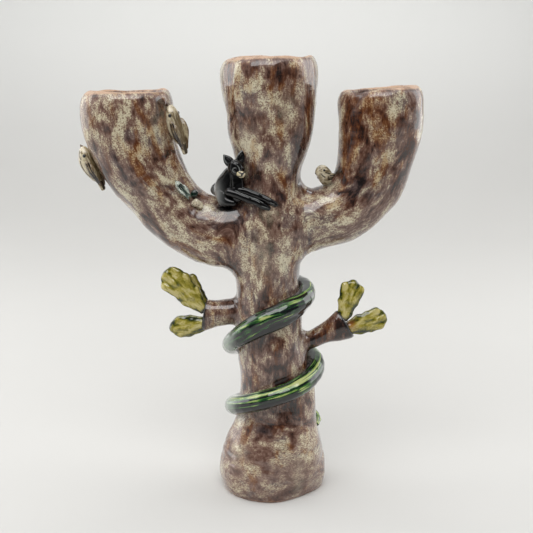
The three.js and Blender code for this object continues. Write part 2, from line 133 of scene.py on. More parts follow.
# ---- Clay: shapes joined and cut on a grid, then skinned ----
class Clay:
    """Holds on a grid of points the distance to the clay's surface, and to the lines inked into it."""

    def __init__(self, cell):
        self.cell, self.steps = cell, []

    def add(self, shape, soft=0.0):
        self.steps.append((shape, soft, "add"))
        return self

    def cut(self, shape, soft=0.0):
        self.steps.append((shape, soft, "cut"))
        return self

    def ink(self, stations, depth=0.35):
        """Draws a line on the surface with a pointed tool: a shallow groove that the glaze fills."""
        line = limb(stations, 3, 4.0)
        self.steps.append((line, 0.3, "cut"))
        self.steps.append((line, depth, "ink"))
        return self

    def near(self, low, high):
        spans = tuple(
            slice(max(np.searchsorted(axis, a) - 1, 0), np.searchsorted(axis, b) + 1)
            for axis, a, b in zip(self.axes, low, high)
        )
        x, y, z = (axis[span] for axis, span in zip(self.axes, spans))
        return spans, x[:, None, None], y[None, :, None], z[None, None, :]

    def model(self):
        added = [shape for shape, _, kind in self.steps if kind == "add"]
        self.low = np.min([shape.low for shape in added], 0) - 3 * self.cell
        high = np.max([shape.high for shape in added], 0) + 3 * self.cell
        count = np.ceil((high - self.low) / self.cell).astype(int) + 1
        self.axes = [(self.low[i] + self.cell * np.arange(count[i])).astype(np.float32) for i in range(3)]
        self.value = np.full(count, FAR, np.float32)
        self.lines = np.full(count, FAR, np.float32)
        for shape, soft, kind in self.steps:
            pad = soft + 3 * self.cell
            spans, x, y, z = self.near(shape.low - pad, shape.high + pad)
            new = shape.distance(x, y, z)
            if kind == "ink":
                self.lines[spans] = np.minimum(self.lines[spans], new)
            elif kind == "cut":
                self.value[spans] = -soft_min(-self.value[spans], new, soft)
            else:
                self.value[spans] = soft_min(self.value[spans], new, soft)
        return self

    def sample(self, grid, points):
        """The grid's value at any points, by straight interpolation."""
        place = (points - self.low) / self.cell
        base = np.clip(place.astype(int), 0, np.array(grid.shape) - 2)
        part = np.clip(place - base, 0, 1)
        total = np.zeros(len(points))
        for corner in np.ndindex(2, 2, 2):
            weight = np.prod(np.where(corner, part, 1 - part), axis=1)
            total += weight * grid[tuple((base + corner).T)]
        return total

    def slope(self, points):
        step = np.eye(3) * self.cell * 0.75
        columns = [self.sample(self.value, points + d) - self.sample(self.value, points - d) for d in step]
        return np.stack(columns, 1) / (1.5 * self.cell)

    def skin(self):
        """Surface nets: a point in each cell that the surface crosses, and a quad round each crossed grid edge."""
        inside = self.value < 0
        n = np.array(inside.shape) - 1
        hits = sum(inside[i : n[0] + i, j : n[1] + j, k : n[2] + k].astype(np.int8) for i, j, k in np.ndindex(2, 2, 2))
        active = (hits > 0) & (hits < 8)
        cells = np.argwhere(active)
        index = np.full(active.shape, -1, np.int32)
        index[active] = np.arange(len(cells))
        total, crossings = np.zeros((len(cells), 3)), np.zeros(len(cells))
        for a in np.ndindex(2, 2, 2):
            for axis in range(3):
                if a[axis]:
                    continue
                b = tuple(1 if i == axis else a[i] for i in range(3))
                va, vb = (self.value[tuple((cells + c).T)] for c in (a, b))
                crossed = (va < 0) != (vb < 0)
                t = np.where(crossed, va / np.where(crossed, va - vb, 1), 0)
                total += crossed[:, None] * (np.array(a) + t[:, None] * (np.array(b) - a))
                crossings += crossed
        points = self.low + self.cell * (cells + total / crossings[:, None])
        quads = []
        for axis in range(3):
            u, v = np.eye(3, dtype=int)[(axis + 1) % 3], np.eye(3, dtype=int)[(axis + 2) % 3]
            here = np.take(inside, range(n[axis]), axis)
            crossed = here != np.take(inside, range(1, n[axis] + 1), axis)
            edges = np.argwhere(crossed)
            across = [(axis + 1) % 3, (axis + 2) % 3]
            edges = edges[((edges[:, across] > 0) & (edges[:, across] < n[across])).all(1)]
            ring = np.stack([index[tuple((edges - d).T)] for d in (u + v, v, 0 * u, u)], 1)
            outward = here[tuple(edges.T)]
            quads.append(np.where(outward[:, None], ring, ring[:, ::-1]))
        for _ in range(2):
            slope = self.slope(points)
            step = self.sample(self.value, points) / np.maximum((slope**2).sum(1), 0.1)
            points = points - slope * np.clip(step, -0.5 * self.cell, 0.5 * self.cell)[:, None]
        slope = self.slope(points)
        normals = slope / np.maximum(np.linalg.norm(slope, axis=1), 1e-6)[:, None]
        return points, np.vstack(quads), normals


def waves(points, seed, length, count=9, stretch=(1, 1, 1)):
    """Smooth random heights of about -1 to 1, made of plane waves about `length` long, and their slope."""
    rng = np.random.default_rng(seed)
    height, slope = np.zeros(len(points)), np.zeros((len(points), 3))
    for _ in range(count):
        way = rng.normal(size=3)
        way *= 2 * math.pi / (length * rng.uniform(0.7, 1.5) * np.linalg.norm(way)) / np.array(stretch)
        angle = points @ way + rng.uniform(0, 2 * math.pi)
        height += np.sin(angle)
        slope += np.cos(angle)[:, None] * way
    scale = math.sqrt(2 / count) * 0.7
    return height * scale, slope * scale


def lump(points, normals, layers):
    """Moves the surface in and out by layers of waves: (seed, length, height in mm, stretch)."""
    height, slope = np.zeros(len(points)), np.zeros((len(points), 3))
    for seed, length, size, stretch in layers:
        h, s = waves(points, seed, length, stretch=stretch)
        height += size * h
        slope += size * s
    across = slope - (slope * normals).sum(1)[:, None] * normals
    turned = normals - across
    return points + height[:, None] * normals, turned / np.linalg.norm(turned, axis=1)[:, None]


# ---- Meshes ----
def closed_part(points, quads, normals, keep):
    """The kept quads as a closed body: each open edge loop gets a flat fan for a cap."""
    faces = quads[keep]
    used, faces = np.unique(faces, return_inverse=True)
    faces = faces.reshape(-1, 4)
    points, normals = points[used], normals[used]
    edges = np.vstack([faces[:, [i, (i + 1) % 4]] for i in range(4)])
    held = Counter(map(tuple, edges.tolist()))
    following = {}
    for (a, b), count in held.items():
        if count > held.get((b, a), 0):
            following.setdefault(a, []).extend([b] * (count - held.get((b, a), 0)))
    caps, extra = [], []
    while following:
        start = next(iter(following))
        loop, here = [start], start
        while True:
            choices = following[here]
            there = choices.pop()
            if not choices:
                del following[here]
            if there == start:
                break
            loop.append(there)
            here = there
        centre = len(points) + len(extra)
        extra.append(points[loop].mean(0))
        caps += [(b, a, centre) for a, b in zip(loop, loop[1:] + loop[:1])]
    if extra:
        points = np.vstack([points, extra])
        normals = np.vstack([normals, np.zeros((len(extra), 3))])
    return points, faces, normals, caps, used


def make(name, points, faces, normals, material, slot, nodes, caps=(), place=None, **attributes):
    """A Blender piece from millimetre points. It rides on the tree and stands for the CAD nodes."""
    if place is not None:
        spin = np.array(place.to_3x3())
        points = points @ spin.T + np.array(place.translation)
        normals = normals @ spin.T
    mesh = bpy.data.meshes.new(name)
    mesh.from_pydata((points * MM).tolist(), [], faces.tolist() + [list(c) for c in caps])
    mesh.shade_smooth()
    corner = np.zeros(len(mesh.loops), int)
    mesh.loops.foreach_get("vertex_index", corner)
    turned = normals[corner]
    if len(caps):
        flat = np.zeros(len(mesh.polygons) * 3)
        mesh.polygons.foreach_get("normal", flat)
        turned[4 * len(faces) :] = np.repeat(flat.reshape(-1, 3)[len(faces) :], 3, axis=0)
    mesh.normals_split_custom_set(turned.tolist())
    for key, value in attributes.items():
        value = np.asarray(value, float)
        if len(value) < len(points):
            value = np.concatenate([value, np.zeros((len(points) - len(value), *value.shape[1:]))])
        kind = "FLOAT_VECTOR" if value.ndim == 2 else "FLOAT"
        layer = mesh.attributes.new(key, kind, "POINT")
        layer.data.foreach_set("vector" if value.ndim == 2 else "value", value.ravel())
    piece = bpy.data.objects.new(name, mesh)
    bpy.context.collection.objects.link(piece)
    mesh.materials.append(material)
    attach(piece, "root")
    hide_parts(*nodes)


# ---- Materials ----
def linear(code):
    """A #rrggbb colour as linear red, green, blue and alpha."""
    parts = [int(code[i : i + 2], 16) / 255 for i in (1, 3, 5)]
    return (*[c / 12.92 if c < 0.04045 else ((c + 0.055) / 1.055) ** 2.4 for c in parts], 1.0)


class Glaze:
    """A principled material whose colour, roughness and relief come from nodes."""

    def __init__(self, name, coat=1.0, coat_roughness=0.03, coat_ior=1.6, specular=0.15):
        self.material = bpy.data.materials.new(name)
        self.material.use_nodes = True
        self.tree = self.material.node_tree
        self.shader = self.tree.nodes["Principled BSDF"]
        self.shader.inputs["Coat Weight"].default_value = coat
        self.shader.inputs["Coat Roughness"].default_value = coat_roughness
        self.shader.inputs["Coat IOR"].default_value = coat_ior
        self.shader.inputs["Specular IOR Level"].default_value = specular
        self.position = self.put("ShaderNodeTexCoord").outputs["Object"]

    def put(self, kind, inputs=None, **settings):
        node = self.tree.nodes.new(kind)
        for key, value in settings.items():
            setattr(node, key, value)
        for key, value in (inputs or {}).items():
            if isinstance(value, bpy.types.NodeSocket):
                self.tree.links.new(value, node.inputs[key])
            else:
                node.inputs[key].default_value = value
        return node

    def attribute(self, name, output="Fac"):
        return self.put("ShaderNodeAttribute", attribute_name=name).outputs[output]

    def stretched(self, vector, scale):
        return self.put("ShaderNodeVectorMath", {0: vector, 1: scale}, operation="MULTIPLY").outputs[0]

    def noise(self, vector, scale, detail=3.0, roughness=0.55, distortion=0.0):
        inputs = {"Vector": vector, "Scale": scale, "Detail": detail, "Roughness": roughness, "Distortion": distortion}
        return self.put("ShaderNodeTexNoise", inputs).outputs["Fac"]

    def math(self, operation, a, b=0.0):
        return self.put("ShaderNodeMath", {0: a, 1: b}, operation=operation).outputs[0]

    def total(self, *parts, base):
        """A base plus each noise's swing about 0.5, times its weight."""
        for value, weight in parts:
            swing = self.put("ShaderNodeMath", {0: value, 1: weight, 2: -0.5 * weight}, operation="MULTIPLY_ADD")
            base = self.math("ADD", swing.outputs[0], base)
        return base

    def ramp(self, value, stops):
        """Colours by value: {place: #rrggbb}."""
        node = self.put("ShaderNodeValToRGB", {"Fac": value})
        marks = node.color_ramp.elements
        while len(marks) < len(stops):
            marks.new(0.5)
        for mark, (place, code) in zip(marks, sorted(stops.items())):
            mark.position, mark.color = place, linear(code)
        return node.outputs["Color"]

    def band(self, value, low, high, to_low=0.0, to_high=1.0):
        """A smooth step from `low` to `high`."""
        inputs = {"Value": value, "From Min": low, "From Max": high, "To Min": to_low, "To Max": to_high}
        return self.put("ShaderNodeMapRange", inputs, interpolation_type="SMOOTHSTEP").outputs["Result"]

    def mix(self, amount, a, b):
        """Colour a turning into colour b."""
        inputs = {0: amount, 6: linear(a) if isinstance(a, str) else a, 7: linear(b) if isinstance(b, str) else b}
        return self.put("ShaderNodeMix", inputs, data_type="RGBA").outputs[2]

    def finish(self, colour, roughness, height, distance=0.0006, strength=0.5):
        bump = self.put("ShaderNodeBump", {"Height": height, "Distance": distance, "Strength": strength})
        self.tree.links.new(colour, self.shader.inputs["Base Color"])
        self.tree.links.new(roughness, self.shader.inputs["Roughness"])
        self.tree.links.new(bump.outputs[0], self.shader.inputs["Normal"])
        return self.material


def bark_glaze():
    """Streaked glaze: chocolate through mauve-brown to speckled cream, with rust and slate drifts."""
    g = Glaze("bark_glaze")
    flow = g.attribute("flow", "Vector")
    tone = g.total(
        (g.noise(g.stretched(flow, (1, 1, 0.8)), 0.03, 3), 0.9),
        (g.noise(g.stretched(flow, (1, 1, 0.6)), 0.08, 3, 0.5, 0.8), 1.55),
        (g.noise(g.stretched(flow, (1, 1, 0.5)), 0.21, 3, 0.6, 0.4), 0.95),
        (g.noise(g.stretched(flow, (1, 1, 0.28)), 0.75, 3, 0.6), 0.5),
        base=g.math("ADD", g.attribute("tone"), 0.51),
    )
    tone = g.math("ADD", tone, g.math("MULTIPLY", g.attribute("soft"), g.math("SUBTRACT", 0.56, tone)))
    grain = g.noise(flow, 0.95, 3, 0.75)
    grainy = g.math("MULTIPLY", g.band(tone, 0.42, 0.72, 0.12, 1.0), g.math("SUBTRACT", grain, 0.5))
    tone = g.math("ADD", tone, g.math("MULTIPLY", grainy, 1.9))
    plain = g.ramp(tone, {
        0.1: "#1e110c", 0.27: "#432a20", 0.41: "#664a3f", 0.53: "#83685b", 0.65: "#9f8a76", 0.77: "#beaf92", 0.92: "#dad1b5",
    })
    rusty = g.ramp(tone, {0.1: "#241008", 0.3: "#4a2614", 0.5: "#714528", 0.66: "#946c48", 0.82: "#bda37c"})
    slaty = g.ramp(tone, {0.1: "#1a1618", 0.3: "#3c3334", 0.5: "#635553", 0.68: "#8f8378", 0.86: "#c6c0a6"})
    slate = g.noise(g.stretched(flow, (1, 1, 0.7)), 0.06, 4, 0.6, 0.4)
    colour = g.mix(g.band(slate, 0.52, 0.66, 0, 0.7), plain, slaty)
    rust = g.noise(g.stretched(flow, (1, 1, 0.3)), 0.085, 5, 0.65, 0.4)
    cup = g.band(g.attribute("cup"), 0.0, 1.0, 0.0, 0.05)
    amount = g.math("ADD", g.band(g.math("ADD", rust, cup), 0.52, 0.66), g.attribute("rust"))
    colour = g.mix(amount, colour, rusty)
    dots = g.noise(flow, 0.62, 2, 0.5)
    dotted = g.math("MULTIPLY", g.band(dots, 0.6, 0.68, 0, 0.75), g.band(tone, 0.45, 0.65))
    colour = g.mix(dotted, colour, "#5a2e17")
    # Near black from the dark attribute: dark glaze and dark twig ends, with painted shade under the fox and the birds
    # and in the left arm's crease.
    colour = g.mix(g.attribute("dark"), colour, "#100d0d")
    pale = g.math("MULTIPLY", g.attribute("pale"), g.band(grain, 0.36, 0.5))
    colour = g.mix(pale, colour, "#d2c8ac")
    rim = g.attribute("rim")
    lip = g.math("MULTIPLY", g.band(rim, 0.42, 0.6), g.band(tone, 0.25, 0.6, 0.55, 1.0))
    g.tree.links.new(g.band(rim, 0.1, 0.45, 0.1, 0.55), g.shader.inputs["Coat Roughness"])
    colour = g.mix(lip, colour, "#bb9779")
    colour = g.mix(g.attribute("bare"), colour, "#b58466")
    return g.finish(colour, g.band(tone, 0.2, 0.8, 0.2, 0.36), tone, 0.0008, 0.3)


def leaf_glaze():
    """Yellow-olive glaze, tan on the ridges and pooled bottle green in the hollows."""
    g = Glaze("leaf_glaze")
    flow = g.attribute("flow", "Vector")
    cloud = g.noise(g.stretched(flow, (0.45, 1, 1)), 0.24, 3, 0.6, 0.6)
    fine = g.noise(flow, 0.7, 3, 0.6)
    depth = g.total((cloud, 2.2), (fine, 0.5), base=g.attribute("pool"))
    colour = g.ramp(depth, {0.0: "#c6ba7a", 0.24: "#a99d48", 0.47: "#857c24", 0.72: "#555810", 0.95: "#1f290a"})
    colour = g.mix(g.attribute("rust"), colour, "#9a5a22")
    colour = g.mix(g.attribute("dark"), colour, "#0b0e0b")
    return g.finish(colour, g.band(cloud, 0.3, 0.7, 0.12, 0.2), fine, 0.0006, 0.3)


def snake_glaze():
    """Bottle green with leaf green brushed along the back; lighter on top and near black underneath, partly as painted
    light and shade.
    """
    g = Glaze("snake_glaze", coat_roughness=0.02)
    flow = g.attribute("flow", "Vector")
    brush = g.noise(g.stretched(flow, (1, 1, 0.025)), 0.45, 3, 0.55)
    cloud = g.noise(g.stretched(flow, (0.2, 0.2, 1)), 0.045, 2)
    level = g.total((brush, 2.2), (cloud, 0.8), base=g.attribute("back"))
    colour = g.ramp(level, {
        0.4: "#02050a", 0.56: "#04110f", 0.66: "#10341a", 0.76: "#34652a", 0.87: "#7d994c", 0.97: "#b2b878",
    })
    # Pale grey-green on the coils' left ends: thin glaze with a painted reflection of the light box.
    colour = g.mix(g.attribute("side"), colour, "#a0aca0")
    return g.finish(colour, g.band(brush, 0.3, 0.7, 0.08, 0.16), brush, 0.0006, 0.3)


def inked_glaze(name, low, high, line, streak=None, roughness=(0.14, 0.26), thin=0.2, coat_ior=1.6):
    """A clouded glaze with streaks along the figure, a shaded side, and a second colour in the drawn lines."""
    g = Glaze(name, coat_ior=coat_ior)
    flow = g.attribute("flow", "Vector")
    cloud = g.noise(flow, 0.16, 4, 0.6, 0.4)
    fine = g.noise(flow, 0.8, 2, 0.6)
    colour = g.mix(g.band(cloud, 0.36, 0.64), low, high)
    if streak:
        strokes = g.noise(g.stretched(flow, (0.14, 1, 1)), 0.75, 4, 0.65)
        level = g.math("ADD", strokes, g.math("MULTIPLY", g.attribute("shade"), 0.25))
        colour = g.mix(g.band(level, 0.5, 0.66), colour, streak)
    colour = g.mix(g.band(g.attribute("ink"), thin, 0.9), colour, line)
    # Painted reflection: pale grey mixed into the colour on the fox's back-left, in place of the light box seen in the
    # glaze.
    colour = g.mix(g.attribute("sheen"), colour, "#c9cbc8")
    return g.finish(colour, g.band(cloud, 0.3, 0.7, *roughness), fine, 0.0004, 0.2)


BARK = bark_glaze()
LEAF = leaf_glaze()
SNAKE = snake_glaze()
BLACK = inked_glaze("black_glaze", "#010102", "#030304", "#6c6f6d", roughness=(0.06, 0.12), thin=0.55, coat_ior=1.38)
CREAM = inked_glaze("cream_glaze", "#c9bb93", "#ddd2b4", "#15110e")
FEATHER = inked_glaze("feather_glaze", "#ddd2b6", "#bfb193", "#3a3122", "#756549")
WING = inked_glaze("wing_glaze", "#b5a788", "#86745a", "#2a2018", "#5a4732")
STRIPED = inked_glaze("striped_glaze", "#d9dcd0", "#bcc4b8", "#0b1813", "#54655a")
EYE = inked_glaze("eye_glaze", "#020202", "#050505", "#040404", roughness=(0.04, 0.08))
BUD = inked_glaze("bud_glaze", "#06140f", "#0b2a1c", "#030505", roughness=(0.06, 0.12))
CLAY_FOOT = inked_glaze("bare_clay", "#b98a6a", "#a87757", "#8a5d43", roughness=(0.75, 0.9))


# ---- The tree: stations [x, y, z, half width, half depth] ----
COLUMN = [
    [0, 0, 26, 42, 39.6], [2, 0, 37, 38.4, 37.5], [3.2, 0, 47, 35.2, 34.5], [4.2, 0, 58, 32, 31.6], [4, 0, 72, 31.2, 30],
    [3.8, 0, 86, 30, 29], [1.8, 0, 101, 28.6, 28], [-1, 0, 117, 28, 27.5], [-2.6, 0, 133, 27.2, 27],
    [-3.2, 0, 150, 27.2, 27], [-4.2, 0, 168, 26, 26.5], [-5.4, 0, 184, 26.6, 27], [-6, 0, 202, 28.5, 28],
    [-5.6, 0, 220, 28.6, 28], [-4.2, 0, 238, 26.6, 27], [-2.6, 0, 252, 25.8, 25.5], [-2, 0, 264, 25.6, 24.5],
    [-1.6, 0, 274, 27.2, 25.5], [-1.4, 0, 284, 30, 27.5], [-1.6, 0, 298, 33.2, 30.5], [-2, 0, 314, 34.8, 32.5],
    [-4, 0, 332, 37.6, 34.4], [-4.4, 0, 354, 38, 34.6],
]
LEFT_ARM = [
    [-8, 0, 216, 27, 24], [-30, 0, 214.2, 28.6, 25.5], [-50.4, 0, 216.2, 28.2, 25.5], [-72, 0, 228.6, 26, 25],
    [-87.5, 0, 245.5, 26, 25.5], [-99.5, 0, 264, 30.2, 28], [-107, 0, 283, 33.4, 30], [-111, 0, 303, 35.2, 31.5],
    [-112.8, 0, 332, 35.2, 31.5],
]
RIGHT_ARM = [
    [5, 0, 222, 25, 23.5], [20, 0, 223.5, 25.6, 23.5], [36, 0, 226.5, 24.6, 23.5], [52, 0, 231.5, 25, 23.5],
    [65, 0, 241.5, 25.6, 24], [75, 0, 257, 27.8, 25.5], [79.8, 0, 277, 29.8, 27], [82.6, 0, 300, 32.8, 29],
    [82.8, 0, 332, 33, 29],
]
LEFT_TWIG = [[-22, 0, 150.5, 9.5, 9], [-34, -2, 150.6, 10.6, 9.5], [-45, -3, 150, 11.2, 9], [-56, -4, 149, 13.4, 8.4]]
RIGHT_TWIG = [
    [16, 0, 120, 8, 8.5], [28, -2, 126, 8, 8.2], [42, -3, 132.8, 9, 8], [52, -4, 138, 11.6, 8], [60, -4, 142.4, 14, 7.8],
]
DENTS = [
    ((37, -34, 42), (4, 5, 17), (0, -8, 0)), ((-33, -36, 50), (6, 5, 12), (0, 14, 0)),
    ((10, -45, 30), (5, 4, 14), (0, 8, 0)), ((-26, -34, 206), (5, 5, 16), (0, -20, 0)),
    ((15, -33, 268), (4, 5, 16), (0, 6, 0)), ((-58, -33, 238), (12, 5, 5), (0, 30, 0)),
    ((70, -32, 262), (5, 5, 12), (0, 30, 0)), ((-10, -36, 302), (5, 4, 16), (0, 0, 0)),
]  # thumb marks: centre, half sizes and turn
TWIG_ENDS = {"left": ((-56.5, -4, 149), (-0.98, 0, 0.1)), "right": ((58.8, -4, 141.8), (0.86, 0, 0.5))}
ARM_TURN = 5  # the station where an arm ends and its cup begins
TWIG_HEIGHTS = (100, 178)  # the twigs lie between these heights, and the arms above them
TWIG_ROOTS = {"left": -31.5, "right": 27.5}  # where the twigs leave the trunk, along X
TWIG_FACE_REACH = 20
WELL_RADII = {"left_cup": (26, 24), "centre_cup": (28.5, 26.5), "right_cup": (23.8, 22)}
# A rim's middle height over its cup's CAD box, and how far it rises to the right and to the back
RIM_HEIGHTS = {"left_cup": (2.4, 1.2, 0.2), "centre_cup": (3.2, 1.5, -0.2), "right_cup": (3.4, 1.5, -0.3)}


def rim_height(name, x, y):
    """The hand-cut rim of a cup: its middle height with a slow wave round it."""
    low, high = (np.array(v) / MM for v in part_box(name))
    angle = np.arctan2(y - (low[1] + high[1]) / 2, x - (low[0] + high[0]) / 2)
    middle, right, back = RIM_HEIGHTS[name]
    return high[2] + middle + right * np.cos(angle) + back * np.sin(angle) + 0.4 * np.sin(3 * angle + 1)


def over_rim(name):
    """Everything above a cup's rim, within reach of the cup."""
    low, high = (np.array(v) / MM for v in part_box(name))
    middle, reach = (low + high) / 2, (high - low) / 2 + 6

    def distance(x, y, z):
        side = (np.sqrt(((x - middle[0]) / reach[0]) ** 2 + ((y - middle[1]) / reach[1]) ** 2) - 1) * reach[1]
        return np.maximum(rim_height(name, x, y) - z, side).astype(np.float32)

    return Shape([*(middle - reach)[:2], high[2] - 6], [*(middle + reach)[:2], high[2] + 50], distance)


def well(name):
    """The inside of a cup: an oval well with a rounded floor at the candle's mount."""
    floor = np.array(next(m for m in frame["record"]["mounts"] if m["name"] == name + "_floor")["pos_m"]) / MM
    a, b = WELL_RADII[name]

    def distance(x, y, z):
        side = (np.sqrt(((x - floor[0]) / a) ** 2 + ((y - floor[1]) / b) ** 2) - 1) * min(a, b)
        return -soft_min(-side, z - floor[2], 8).astype(np.float32)

    return Shape(floor - [a, b, 0], floor + [a, b, 80], distance)


def past_face(end, way):
    """A block that starts at a flat face and lies in the direction `way` from it."""
    def distance(x, y, z):
        ahead = (x - end[0]) * way[0] + (y - end[1]) * way[1] + (z - end[2]) * way[2]
        return np.maximum(-ahead, ahead - 30).astype(np.float32)

    return Shape(np.array(end) - 16, np.array(end) + 16, distance)


def underside():
    """Everything below the ground, and the seat of the foot slab."""
    low, high = (np.array(v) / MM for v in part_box("foot_slab"))
    centre, radius = (low + high) / 2, (high[0] - low[0]) / 2 + 0.3

    def distance(x, y, z):
        seat = np.maximum(np.sqrt((x - centre[0]) ** 2 + (y - centre[1]) ** 2) - radius, z - high[2] - 0.3)
        return np.minimum(z, seat).astype(np.float32)

    return Shape([-60, -60, -40], [60, 60, high[2] + 1], distance)


def nearest(points, path):
    """For each point, the number of the path's nearest row."""
    return np.concatenate([((part[:, None] - path) ** 2).sum(2).argmin(1) for part in np.array_split(points, 60)])


def arm_flow(points, stations, at):
    """Coordinates that follow an arm: across it, along Y, and along its length. They match the trunk's at `at`."""
    path = spline(stations, 8)[:, [0, 2]]
    ways = np.gradient(path, axis=0)
    ways /= np.linalg.norm(ways, axis=1)[:, None]
    lengths = np.concatenate([[0], np.cumsum(np.linalg.norm(np.diff(path, axis=0), axis=1))])
    flat = points[:, [0, 2]]
    near = nearest(flat, path)
    gone, way = flat - path[near], ways[near]
    across = gone[:, 0] * way[:, 1] - gone[:, 1] * way[:, 0]
    along = lengths[near] + (gone * way).sum(1)
    start = ((path - np.array(at)) ** 2).sum(1).argmin()
    return np.stack([across + at[0], points[:, 1], along - lengths[start] + at[1]], 1)


def step(value, low, high):
    t = np.clip((value - low) / (high - low), 0, 1)
    return t * t * (3 - 2 * t)


def spot(points, centre, radius):
    """1 at a centre, falling to 0 over about a radius. The radius may be one for each axis."""
    return np.exp(-(((points - np.array(centre)) / np.array(radius)) ** 2).sum(1))


def tree():
    clay = Clay(TREE_CELL)
    clay.add(limb(COLUMN))
    clay.add(Shape([-46, -43, 0], [46, 43, 30], foot_disc), 2)
    clay.add(limb(LEFT_ARM), 13)
    clay.add(limb(RIGHT_ARM), 12)
    clay.add(limb(LEFT_TWIG), 6)
    clay.add(limb(RIGHT_TWIG), 6)
    for end, way in TWIG_ENDS.values():
        clay.cut(past_face(end, way), 2.5)
    for dent in DENTS:
        clay.cut(egg(*dent), 9)
    for name in WELL_RADII:
        clay.cut(over_rim(name), 15)
        clay.cut(well(name), 5)
    clay.cut(underside(), 1.2)
    clay.model()
    points, quads, normals = clay.skin()
    outside = step(points[:, 2], 1.0, 6.0)
    layers = [(3, 46, 1.0, (1, 1, 1.3)), (5, 19, 0.34, (1, 1, 1.8)), (8, 8, 0.05, (1, 1, 2))]
    moved, turned = lump(points, normals, layers)
    points = points + outside[:, None] * (moved - points)
    normals = normals + outside[:, None] * (turned - normals)
    normals /= np.linalg.norm(normals, axis=1)[:, None]

    x, y, z = points.T
    left = step(-x, 26, 46) * step(z, 176, 190)
    right = step(x, 18, 38) * step(z, 176, 190)
    broad = 1 - 0.35 * step(-z, -85, -40)
    flow = points * np.stack([broad, broad, np.ones(len(z))], 1)
    flow[:, 2] += 0.9 * np.minimum(z - 70, 0)
    for weight, stations, at in ((left, LEFT_ARM, (-36, 216)), (right, RIGHT_ARM, (28, 225))):
        flow += weight[:, None] * (arm_flow(points, stations, at) - flow)
    rim, cup = np.zeros(len(points)), np.zeros(len(points))
    for name in WELL_RADII:
        low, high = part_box(name)
        inside = (x > low.x / MM - 4) & (x < high.x / MM + 4) & (z > 250)
        top = rim_height(name, x, y)
        rim = np.where(inside, np.clip((z - top) / 8 + 1, 0, 1), rim)
        cup = np.where(inside, step(z - top, -85, -45), cup)
    # Dark glaze, with painted shade under the fox and birds and in the left arm's crease; then the dark twig ends.
    dark = stain_and_shade(points, DARK_STAINS_AND_SHADE)
    for end, way in TWIG_ENDS.values():
        gone = points - np.array(end)
        close = np.linalg.norm(gone, axis=1) < TWIG_FACE_REACH
        dark = np.maximum(dark, close * step(gone @ np.array(way), -3.4, -1.2))
    attributes = {
        "flow": flow,
        "tone": 0.07 * step(z, 250, 290) + sum(shift * spot(points, *place) for *place, shift in TONES),
        "rim": rim,
        "cup": cup,
        "bare": step(z, 1.6, 0.6),
        "soft": 0.42 * step(-z, -80, -30),
        "dark": dark,
        "rust": stain_and_shade(points, RUST_STAINS),
        "pale": stain_and_shade(points, PALE_STAINS),
    }

    centre = points[quads].mean(1)
    region = np.full(len(quads), "trunk", dtype="U16")
    tops = {name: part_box(name)[1].z / MM for name in ("root_base", "trunk", "fork", "centre_limb")}
    cx, cz = centre[:, 0], centre[:, 2]
    region[cz < tops["root_base"]] = "root_base"
    region[cz > tops["trunk"]] = "fork"
    region[cz > tops["fork"]] = "centre_limb"
    region[cz > tops["centre_limb"]] = "centre_cup"
    fork_low, fork_high = (v.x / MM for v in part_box("fork"))
    for side, stations, beyond in (
        ("left", LEFT_ARM, cx < fork_low - 1),
        ("right", RIGHT_ARM, cx > fork_high + 1),
    ):
        off_trunk = beyond & (cz > TWIG_HEIGHTS[1])
        region[off_trunk] = side + "_arm"
        here, ahead = np.array(stations[ARM_TURN]), np.array(stations[ARM_TURN + 1])
        behind = np.array(stations[ARM_TURN - 1])
        way = (ahead - behind)[[0, 2]]
        past = (cx - here[0]) * way[0] + (cz - here[2]) * way[1] > 0
        region[off_trunk & past & (np.abs(cx - here[0]) < 60)] = side + "_cup"
        outboard = cx < TWIG_ROOTS[side] if side == "left" else cx > TWIG_ROOTS[side]
        region[outboard & (cz > TWIG_HEIGHTS[0]) & (cz < TWIG_HEIGHTS[1])] = side + "_twig"
    for name in np.unique(region):
        body, faces, turned, caps, used = closed_part(points, quads, normals, region == name)
        own = {key: value[used] for key, value in attributes.items()}
        make("clay_" + name, body, faces, turned, BARK, "bark_glaze", [name], caps, **own)


def foot_disc(x, y, z):
    """The swollen foot: an oval cushion that is widest 15 mm up, with one flat side at the front right."""
    swell = 0.83 + 0.17 * np.sqrt(np.clip(1 - ((z - 15) / 18) ** 2, 0, 1))
    side = (np.sqrt((x / (44.2 * swell)) ** 2 + (y / (40.8 * swell)) ** 2) - 1) * 38
    flat = x * 0.62 - y * 0.78 - 37.5 * swell
    return -soft_min(-np.maximum(side, z - 26), -flat, 8).astype(np.float32)


# Lighter and darker regions of the glaze: (centre, radius, shift)
TONES = [
    ((-44, -6, 149), (16, 20, 16), -0.16), ((46, -6, 134), (18, 20, 14), -0.16), ((60, -18, 305), (16, 26, 30), -0.09),
    ((-8, -24, 252), (15, 20, 18), -0.13), ((-24, -22, 235), (22, 22, 8), -0.08), ((70, -24, 236), (26, 26, 16), -0.06),
    ((0, -26, 126), (24, 26, 20), -0.06), ((0, -30, 30), (50, 40, 30), 0.09), ((-12, -28, 208), (14, 20, 16), 0.05),
    ((4, -26, 170), (24, 20, 20), 0.04), ((-112, -24, 300), (26, 26, 30), 0.04),
    ((-8, -26, 222), (26, 24, 18), -0.03), ((-4, -30, 335), (26, 26, 14), -0.03),
]
